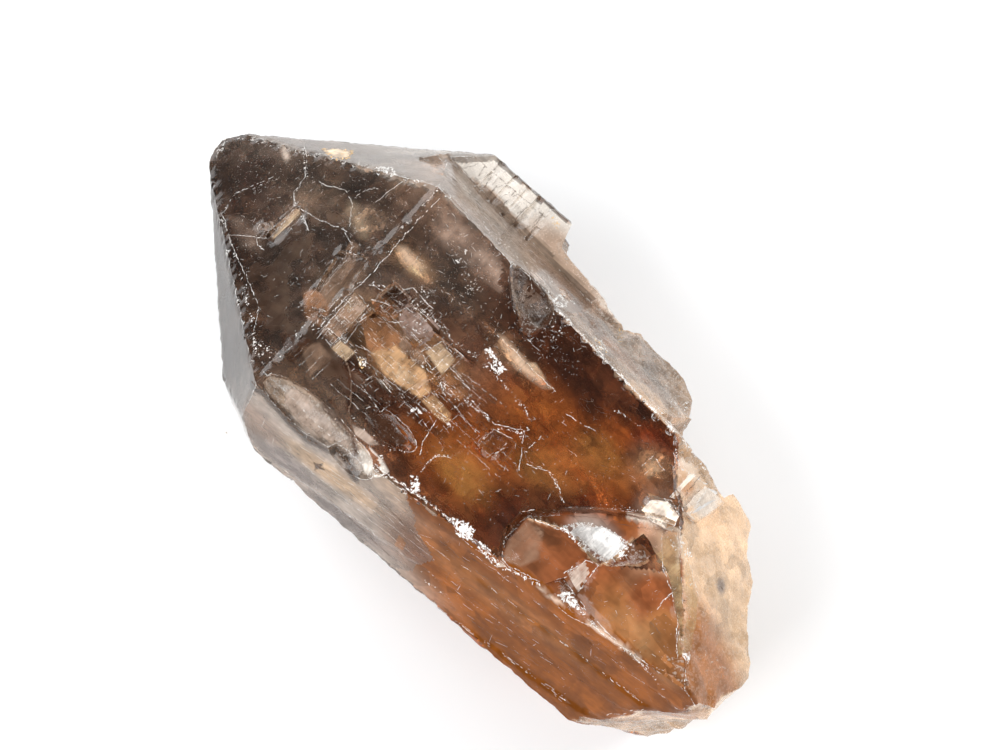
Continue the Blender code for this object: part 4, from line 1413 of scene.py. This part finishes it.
def chalky(name, colour):
    """Crushed quartz: pale, dry and faintly translucent, with darker dust between its grains."""
    material, tree, shader, place = new_material(name)
    dust = span(tree, grain(tree, place, 0.8, 2.0), 0.3, 0.7, 0.78, 1.0)
    tree.links.new(scaled(tree, colour, dust), shader.inputs["Base Color"])
    rough = span(tree, grain(tree, place, 0.3, 2.0), 0.3, 0.7, 0.35, 0.7)
    tree.links.new(rough, shader.inputs["Roughness"])
    return material


class QUARTZ_OT_panels(bpy.types.Operator):
    """Add the panels: films of other tones, painted reflections and glows where growth steps and inner planes
    catch the light, and painted shade in the pit
    """

    bl_idname = "quartz.panels"
    bl_label = "Panels"

    def execute(self, context):
        crystal = bpy.data.objects["crystal"]
        tree = tree_of(crystal)
        skins = [self.skin(name, crystal, tree, *row) for name, row in PANELS.items()]
        joined("panels", skins, panel_material())
        return {"FINISHED"}

    def skin(self, name, crystal, tree, outline, colour, cover, fade):
        """Thin sheet over the surface within an outline, with its colour and cover as an attribute."""
        circle = bpy.ops.mesh.primitive_circle_add
        made = added(f"panel_{name}", circle, vertices=len(outline), radius=1.0, fill_type="NGON")
        corners = [seen_at(tree, pixel) for pixel in outline]
        if None in corners:
            raise ValueError(f"panel {name} leaves the crystal at {outline[corners.index(None)]}")
        corners = [place for place, _ in corners]
        for vert, place in zip(made.data.vertices, corners):
            vert.co = place
        in_edit_mode(
            made, (bpy.ops.mesh.quads_convert_to_tris, {}), (bpy.ops.mesh.subdivide, {"number_cuts": 9})
        )
        modify(
            made, "SHRINKWRAP", target=crystal, wrap_method="NEAREST_SURFACEPOINT", wrap_mode="ABOVE_SURFACE",
            offset=PANEL_LIFT,
        )
        covers = []
        for vert in made.data.vertices:
            rims = [
                (intersect_point_line(vert.co, start, end)[0] - vert.co).length
                for start, end in zip(corners, corners[1:] + corners[:1])
            ]
            covers.append(cover * min(1.0, 0.05 + min(rims) / (fade * MM)))
        tone = made.data.attributes.new("tone", "FLOAT_COLOR", "POINT")
        tone.data.foreach_set("color", [value for share in covers for value in (*colour, share)])
        return made


def panel_material():
    """Film of another tone than the quartz round it, clouded and finely ruled across the crystal; it also
    carries the painted reflections, glows and shade of the panels.
    """
    material, tree, shader, place = new_material("panel_tone_and_painted_light")
    tone = node(tree, "ShaderNodeAttribute", {"attribute_name": "tone"})
    rules = grain(tree, stretched(tree, place, (0.3, 7.0, 7.0), 4.0), 1.0, 1.0, 0.6)
    clouds = grain(tree, place, 3.2, 2.0, 0.6)
    ruled = span(tree, rules, 0.3, 0.7, 0.86, 1.12)
    depth = maths(tree, "MULTIPLY", ruled, span(tree, clouds, 0.3, 0.7, 0.8, 1.2))
    tree.links.new(scaled(tree, tone.outputs["Color"], depth), shader.inputs["Base Color"])
    cover = maths(tree, "MULTIPLY", tone.outputs["Alpha"], span(tree, clouds, 0.3, 0.7, 0.65, 1.2))
    tree.links.new(cover, shader.inputs["Alpha"])
    shader.inputs["Roughness"].default_value = 0.12
    shader.inputs["IOR"].default_value = 1.4
    return material


# Where the quartz is scratched: the outline in pixels, its share of the scratches, their main direction in
# degrees from the crystal's length, the spread about it, how many cross it, the longest in millimetres and
# how much shorter most are.
SCRATCHED_FACES = (
    (((240, 150), (300, 160), (425, 190), (330, 290), (262, 340), (225, 215)), 0.3, 35.0, 40.0, 0.35, 0.8, 5),
    (((440, 200), (530, 275), (600, 345), (560, 400), (470, 340), (400, 270)), 0.24, 0.0, 45.0, 0.35, 0.7, 5),
    (((470, 400), (600, 400), (690, 480), (560, 500), (480, 530), (420, 460)), 0.1, 10.0, 25.0, 0.4, 0.8, 5),
    (PLATED_WINDOW, 0.2, 0.0, 3.0, 0.4, 1.1, 1.5),
    (STRIPED_PLATE, 0.05, 90.0, 3.0, 0.2, 1.3, 1.2),
    (LEDGE_STRIP, 0.07, 0.0, 8.0, 0.1, 1.6, 3),
    (
        ((550, 235), (590, 280), (640, 340), (685, 390), (680, 420), (640, 380), (600, 320)),
        0.1, 20.0, 60.0, 0.3, 0.7, 4,
    ),
    (LONG_FACE, 0.07, 2.0, 10.0, 0.1, 2.0, 4),
    (((600, 600), (660, 560), (690, 600), (670, 670), (630, 640)), 0.03, 0.0, 60.0, 0.3, 0.5, 4),
    (((700, 520), (745, 540), (745, 660), (700, 660)), 0.05, 0.0, 60.0, 0.3, 0.6, 4),
)
# Where it has dark scratches, the same way.
DARK_SCRATCHES = (
    (LEDGE_STRIP, 0.22, 0.0, 6.0, 0.0, 2.4, 3),
    (LONG_FACE, 0.18, 2.0, 6.0, 0.0, 2.0, 3),
    (((455, 158), (500, 162), (550, 220), (540, 240), (500, 205)), 0.07, 90.0, 12.0, 0.1, 1.4, 3),
    (((590, 280), (640, 340), (685, 390), (670, 410), (620, 340)), 0.13, 20.0, 40.0, 0.3, 1.2, 4),
    (PLATED_WINDOW, 0.32, 0.0, 3.0, 0.4, 1.2, 1.5),
    (STRIPED_PLATE, 0.08, 90.0, 3.0, 0.2, 1.3, 1.2),
)


class QUARTZ_OT_scratches(bpy.types.Operator):
    """Add the fine scratches, white and dark"""

    bl_idname = "quartz.scratches"
    bl_label = "Scratches"

    def execute(self, context):
        settings = context.scene.quartz_marks
        tree = tree_of(bpy.data.objects["crystal"])
        draw = np.random.default_rng(SCRATCH_DRAW)
        for name, faces, count, colour in (
            ("scratches", SCRATCHED_FACES, settings.scratches, settings.white),
            ("dark_scratches", DARK_SCRATCHES, settings.scratches // 3, settings.seam),
        ):
            places = [place for row in faces for place in self.scratches_in(tree, draw, count, *row)]
            kinds = [flake(f"sliver_{seed}", (1.0, 0.7, 0.5), seed) for seed in SLIVERS]
            joined_copies(name, kinds, places, chalky(f"{name}_quartz", colour))
        return {"FINISHED"}

    def scratches_in(self, tree, draw, count, outline, share, lean, spread, crossing, longest, power):
        """Slivers scattered over an outline, most of them short."""
        low, high = np.min(outline, axis=0), np.max(outline, axis=0)
        places = []
        while len(places) < count * share:
            pixel = draw.uniform(low, high)
            found = seen_at(tree, pixel) if inside(outline, pixel) else None
            if found is None:
                continue
            length = (0.09 + longest * draw.random() ** power) * MM
            sizes = (length, draw.uniform(0.018, 0.036) * MM, 0.025 * MM)
            turn = math.radians(draw.normal(lean, spread) + (90.0 if draw.random() < crossing else 0.0))
            places.append(laid(found[0] + found[1] * LIFT, found[1], ALONG, sizes, turn))
        return places


# Healed cracks inside the quartz: the pixel and the depth under it in millimetres, the length and width in
# millimetres, the tilts about the crystal's length and across it and the turn, in degrees.
VEILS = {
    "tip_veil": ((300, 210), 9, 30, 20, 25, 35, 10),
    "point_veil": ((360, 230), 12, 34, 26, -20, -30, 25),
    "shoulder_veil": ((450, 250), 14, 30, 24, 30, 10, -15),
    "window_veil": ((400, 360), 10, 34, 20, -35, 5, 0),
    "middle_veil": ((520, 380), 16, 44, 26, 20, -12, 8),
    "warm_veil": ((560, 450), 12, 36, 26, -28, 12, -10),
    "left_veil": ((400, 450), 14, 40, 18, 50, 0, 5),
    "root_veil": ((640, 520), 14, 30, 26, 15, 30, 30),
    "deep_veil": ((480, 420), 30, 60, 34, -8, 6, 12),
}
# Open cracks, which mirror the light: the same numbers.
CRACKS = {
    "long_flash": ((524, 362), 2.5, 15, 3.0, 12, 3, 2),
    "point_flash": ((412, 262), 2.5, 11, 3.2, -10, 5, 0),
    "tip_flash": ((366, 215), 4.0, 9, 6.0, 15, -10, 30),
    "warm_flash": ((655, 460), 4.0, 7, 6.0, 10, 10, 0),
    "left_flash": ((300, 395), 3.0, 16, 5.0, -30, 0, 5),
    "low_flash": ((345, 430), 3.0, 12, 4.0, -25, 5, -10),
    "window_flash": ((415, 372), 3.0, 14, 7.0, 5, 3, 0),
}


# Depth of the waves in the veils and in the cracks, in millimetres.
VEIL_WAVES, CRACK_WAVES = 3.0, 0.9


def sheet_inside(name, tree, row, seed, waves):
    """Wavy sheet under the surface at a pixel, cut back to what lies inside the quartz."""
    pixel, depth, length, width, roll, pitch, turn = row
    surface, normal = seen_at(tree, pixel)
    made = added(name, bpy.ops.mesh.primitive_grid_add, x_subdivisions=40, y_subdivisions=28, size=1.0)
    turned = Matrix.Rotation(math.radians(turn), 4, "Z") @ Matrix.Rotation(math.radians(pitch), 4, "Y")
    turned = turned @ Matrix.Rotation(math.radians(roll), 4, "X")
    sizes = Matrix.Diagonal((length * MM, width * MM, 1, 1))
    made.matrix_world = Matrix.Translation(surface - normal * depth * MM) @ turned @ sizes
    only(made)
    bpy.ops.object.transform_apply(location=True, rotation=True, scale=True)
    push(made, f"{name}_waves", 8.0 * MM, waves * MM)
    push(made, f"{name}_folds", 2.5 * MM, waves * 0.3 * MM)
    bm = bmesh.new()
    bm.from_mesh(made.data)
    middle = Vector((0, 0, 0))
    for vert in bm.verts:
        middle += vert.co / len(bm.verts)
    for face in bm.faces:
        place = face.calc_center_median()
        near, outward, _, gap = tree.find_nearest(place)
        ragged = noise.fractal(place / (4.0 * MM) + Vector((seed, 0, 0)), 0.8, 2.1, 3)
        out = rim_share(place - middle, turned, length, width)
        face.select = (place - near).dot(outward) > 0 or gap < 1.0 * MM or out + 0.35 * ragged > 0.95
    bm.to_mesh(made.data)
    bm.free()
    only(made)
    bpy.ops.object.mode_set(mode="EDIT")
    bpy.ops.mesh.delete(type="FACE")
    bpy.ops.object.mode_set(mode="OBJECT")
    bpy.ops.object.shade_smooth()
    return made


def rim_share(offset, turned, length, width):
    """How far out a place of a sheet lies, 1 on the ellipse that just fits in it."""
    local = turned.inverted() @ offset
    return math.hypot(local.x / (length * MM / 2), local.y / (width * MM / 2))


def joined(name, parts, material):
    """The parts as one piece."""
    bpy.ops.object.select_all(action="DESELECT")
    for part in parts:
        part.select_set(True)
    bpy.context.view_layer.objects.active = parts[0]
    bpy.ops.object.join()
    made = bpy.context.active_object
    made.name = name
    made.data.materials.clear()
    made.data.materials.append(material)
    finish_piece(made)
    return made


class QUARTZ_OT_inside(bpy.types.Operator):
    """Add the veils, the mirroring cracks and the specks inside the quartz"""

    bl_idname = "quartz.inside"
    bl_label = "Veils, cracks and specks"

    def execute(self, context):
        settings = context.scene.quartz_inside
        tree = tree_of(bpy.data.objects["crystal"])
        joined("veils", self.sheets(tree, VEILS, 0, VEIL_WAVES), veil_material(settings.veil_cover))
        joined("cracks", self.sheets(tree, CRACKS, 20, CRACK_WAVES), crack_material())
        self.add_specks(tree, settings.specks)
        return {"FINISHED"}

    def sheets(self, tree, rows, seed, waves):
        """A sheet for each row of a table."""
        numbered = enumerate(rows.items(), seed)
        return [sheet_inside(name, tree, row, number, waves) for number, (name, row) in numbered]

    def add_specks(self, tree, count):
        """Tiny specks and bubbles, crowded in drifts."""
        draw = np.random.default_rng(SPECK_DRAW)
        low, high = SOLID_BOX
        places = []
        while len(places) < count:
            place = Vector(draw.uniform(low, high))
            near, outward, _, gap = tree.find_nearest(place)
            drift = noise.noise(place / (11.0 * MM))
            if (place - near).dot(outward) > 0 or gap < 1.5 * MM or drift < 0.05:
                continue
            size = (0.05 + 0.16 * draw.random() ** 3) * MM
            turn = Matrix.Rotation(draw.uniform(0, math.pi), 4, "Z")
            places.append(Matrix.Translation(place) @ turn @ Matrix.Diagonal((size * 1.6, size, size, 1)))
        kinds = [flake(f"speck_{seed}", (1.0, 0.8, 0.8), seed) for seed in SPECKS]
        joined_copies("specks", kinds, places, chalky("speck", SPECK))


def veil_material(cover):
    """Healed crack: a thin drift of tiny bubbles, in wisps that light mostly goes through."""
    material, tree, shader, place = new_material("healed_veil")
    wisps = grain(tree, place, 5.0, 3.0, 0.65, 1.2)
    dots = grain(tree, place, 0.6, 1.0, 0.7)
    body = maths(tree, "MULTIPLY", span(tree, wisps, 0.46, 0.72), span(tree, dots, 0.3, 0.7, 0.4, 1.0))
    tree.links.new(maths(tree, "MULTIPLY", body, cover), shader.inputs["Alpha"])
    tree.links.new(blend(tree, wisps, VEIL_SHADE, VEIL_LIGHT), shader.inputs["Base Color"])
    shader.inputs["Roughness"].default_value = 0.5
    return material


def crack_material():
    """Open crack: a film of air that mirrors the light in patches."""
    material, tree, shader, place = new_material("open_crack")
    patches = grain(tree, place, 3.0, 2.0, 0.6, 0.5)
    tree.links.new(span(tree, patches, 0.35, 0.65, 0.15, 0.75), shader.inputs["Alpha"])
    shader.inputs["Base Color"].default_value = OPEN_CRACK
    shader.inputs["Metallic"].default_value = 1.0
    tree.links.new(span(tree, grain(tree, place, 0.9, 2.0), 0.3, 0.7, 0.18, 0.4), shader.inputs["Roughness"])
    return material


# Soft boxes round the crystal: angle round it and height above the floor in degrees, distance and size in
# metres, and power in watts.
SOFT_BOXES = {
    "key": (250.0, 42.0, 1.2, 1.0, 14.4),
    "fill": (70.0, 35.0, 1.3, 1.0, 9.6),
    "front": (-15.0, 38.0, 1.3, 0.9, 7.8),
    "back": (160.0, 35.0, 1.3, 1.0, 9.2),
}
SKY_STRENGTH = 0.14
FLOOR_RADIUS = 2.0


class QUARTZ_OT_stage(bpy.types.Operator):
    """Set up the pale floor, the soft light and the camera"""

    bl_idname = "quartz.stage"
    bl_label = "Floor, light and camera"

    def execute(self, context):
        self.add_floor(context.scene.quartz_stage.floor)
        for name, row in SOFT_BOXES.items():
            self.add_soft_box(name, *row)
        world = bpy.data.worlds.new("studio")
        context.scene.world = world
        world.use_nodes = True
        sky = world.node_tree.nodes["Background"]
        sky.inputs["Color"].default_value = (1.0, 1.0, 1.0, 1.0)
        sky.inputs["Strength"].default_value = SKY_STRENGTH
        context.scene.view_settings.view_transform = "Standard"
        self.add_camera(context.scene)
        return {"FINISHED"}

    def add_floor(self, colour):
        """Round floor whose rim slopes down out of sight."""
        circle = bpy.ops.mesh.primitive_circle_add
        floor = added("floor", circle, vertices=96, radius=FLOOR_RADIUS, fill_type="NGON")
        bpy.ops.object.mode_set(mode="EDIT")
        bpy.ops.mesh.select_all(action="SELECT")
        bpy.ops.mesh.extrude_region_move(TRANSFORM_OT_translate={"value": (0, 0, -0.02)})
        bpy.ops.transform.resize(value=(1.4, 1.4, 1.0))
        bpy.ops.object.mode_set(mode="OBJECT")
        in_edit_mode(floor, (bpy.ops.mesh.normals_make_consistent, {"inside": False}))
        material, _, shader, _ = new_material("floor")
        shader.inputs["Base Color"].default_value = (*colour, 1.0)
        shader.inputs["Roughness"].default_value = 1.0
        shader.inputs["Specular IOR Level"].default_value = 0.0
        floor.data.materials.append(material)

    def add_soft_box(self, name, azimuth, height, distance, size, power):
        """Square soft light that faces the crystal."""
        around, up = math.radians(azimuth), math.radians(height)
        away = Vector((math.cos(around) * math.cos(up), math.sin(around) * math.cos(up), math.sin(up)))
        light = bpy.data.lights.new(name, "AREA")
        light.size = size
        light.energy = power
        lamp = bpy.data.objects.new(name, light)
        bpy.context.scene.collection.objects.link(lamp)
        lamp.location = away * distance
        lamp.rotation_euler = away.to_track_quat("Z", "Y").to_euler()

    def add_camera(self, scene):
        """Camera at the angle that the crystal is seen from."""
        place, right, up, back = camera_axes()
        camera = bpy.data.cameras.new("camera")
        camera.lens = scene.quartz_stage.lens
        camera.sensor_width = SENSOR
        camera.clip_start = 0.01
        holder = bpy.data.objects.new("camera", camera)
        scene.collection.objects.link(holder)
        holder.matrix_world = Matrix.Translation(place) @ Matrix((right, up, back)).transposed().to_4x4()
        scene.camera = holder


class QUARTZ_PT_panel(bpy.types.Panel):
    """Steps and settings of the crystal"""

    bl_label = "Rough Smoky Quartz"
    bl_space_type = "VIEW_3D"
    bl_region_type = "UI"
    bl_category = "Quartz"

    def draw(self, context):
        for step in STEPS:
            self.layout.operator(step)
        for name in ("quartz_crystal", "quartz_marks", "quartz_inside", "quartz_stage"):
            group = getattr(context.scene, name)
            box = self.layout.box()
            for field in group.bl_rna.properties.keys():
                if field not in {"rna_type", "name"}:
                    box.prop(group, field)


STEPS = (
    "quartz.crystal",
    "quartz.panels",
    "quartz.bruises",
    "quartz.scratches",
    "quartz.inside",
    "quartz.stage",
)
SETTINGS = {
    "quartz_crystal": CrystalSettings,
    "quartz_marks": MarksSettings,
    "quartz_inside": InsideSettings,
    "quartz_stage": StageSettings,
}
CLASSES = (
    *SETTINGS.values(),
    QUARTZ_OT_crystal,
    QUARTZ_OT_panels,
    QUARTZ_OT_bruises,
    QUARTZ_OT_scratches,
    QUARTZ_OT_inside,
    QUARTZ_OT_stage,
    QUARTZ_PT_panel,
)


def register():
    for made in CLASSES:
        bpy.utils.register_class(made)
    for name, group in SETTINGS.items():
        setattr(bpy.types.Scene, name, PointerProperty(type=group))


def unregister():
    for name in SETTINGS:
        delattr(bpy.types.Scene, name)
    for made in reversed(CLASSES):
        bpy.utils.unregister_class(made)


def main():
    """Model the crystal and its stage."""
    register()
    bpy.ops.quartz.crystal()
    bpy.ops.quartz.panels()
    bpy.ops.quartz.bruises()
    bpy.ops.quartz.scratches()
    bpy.ops.quartz.inside()
    bpy.ops.quartz.stage()


if __name__ == "__main__":
    main()
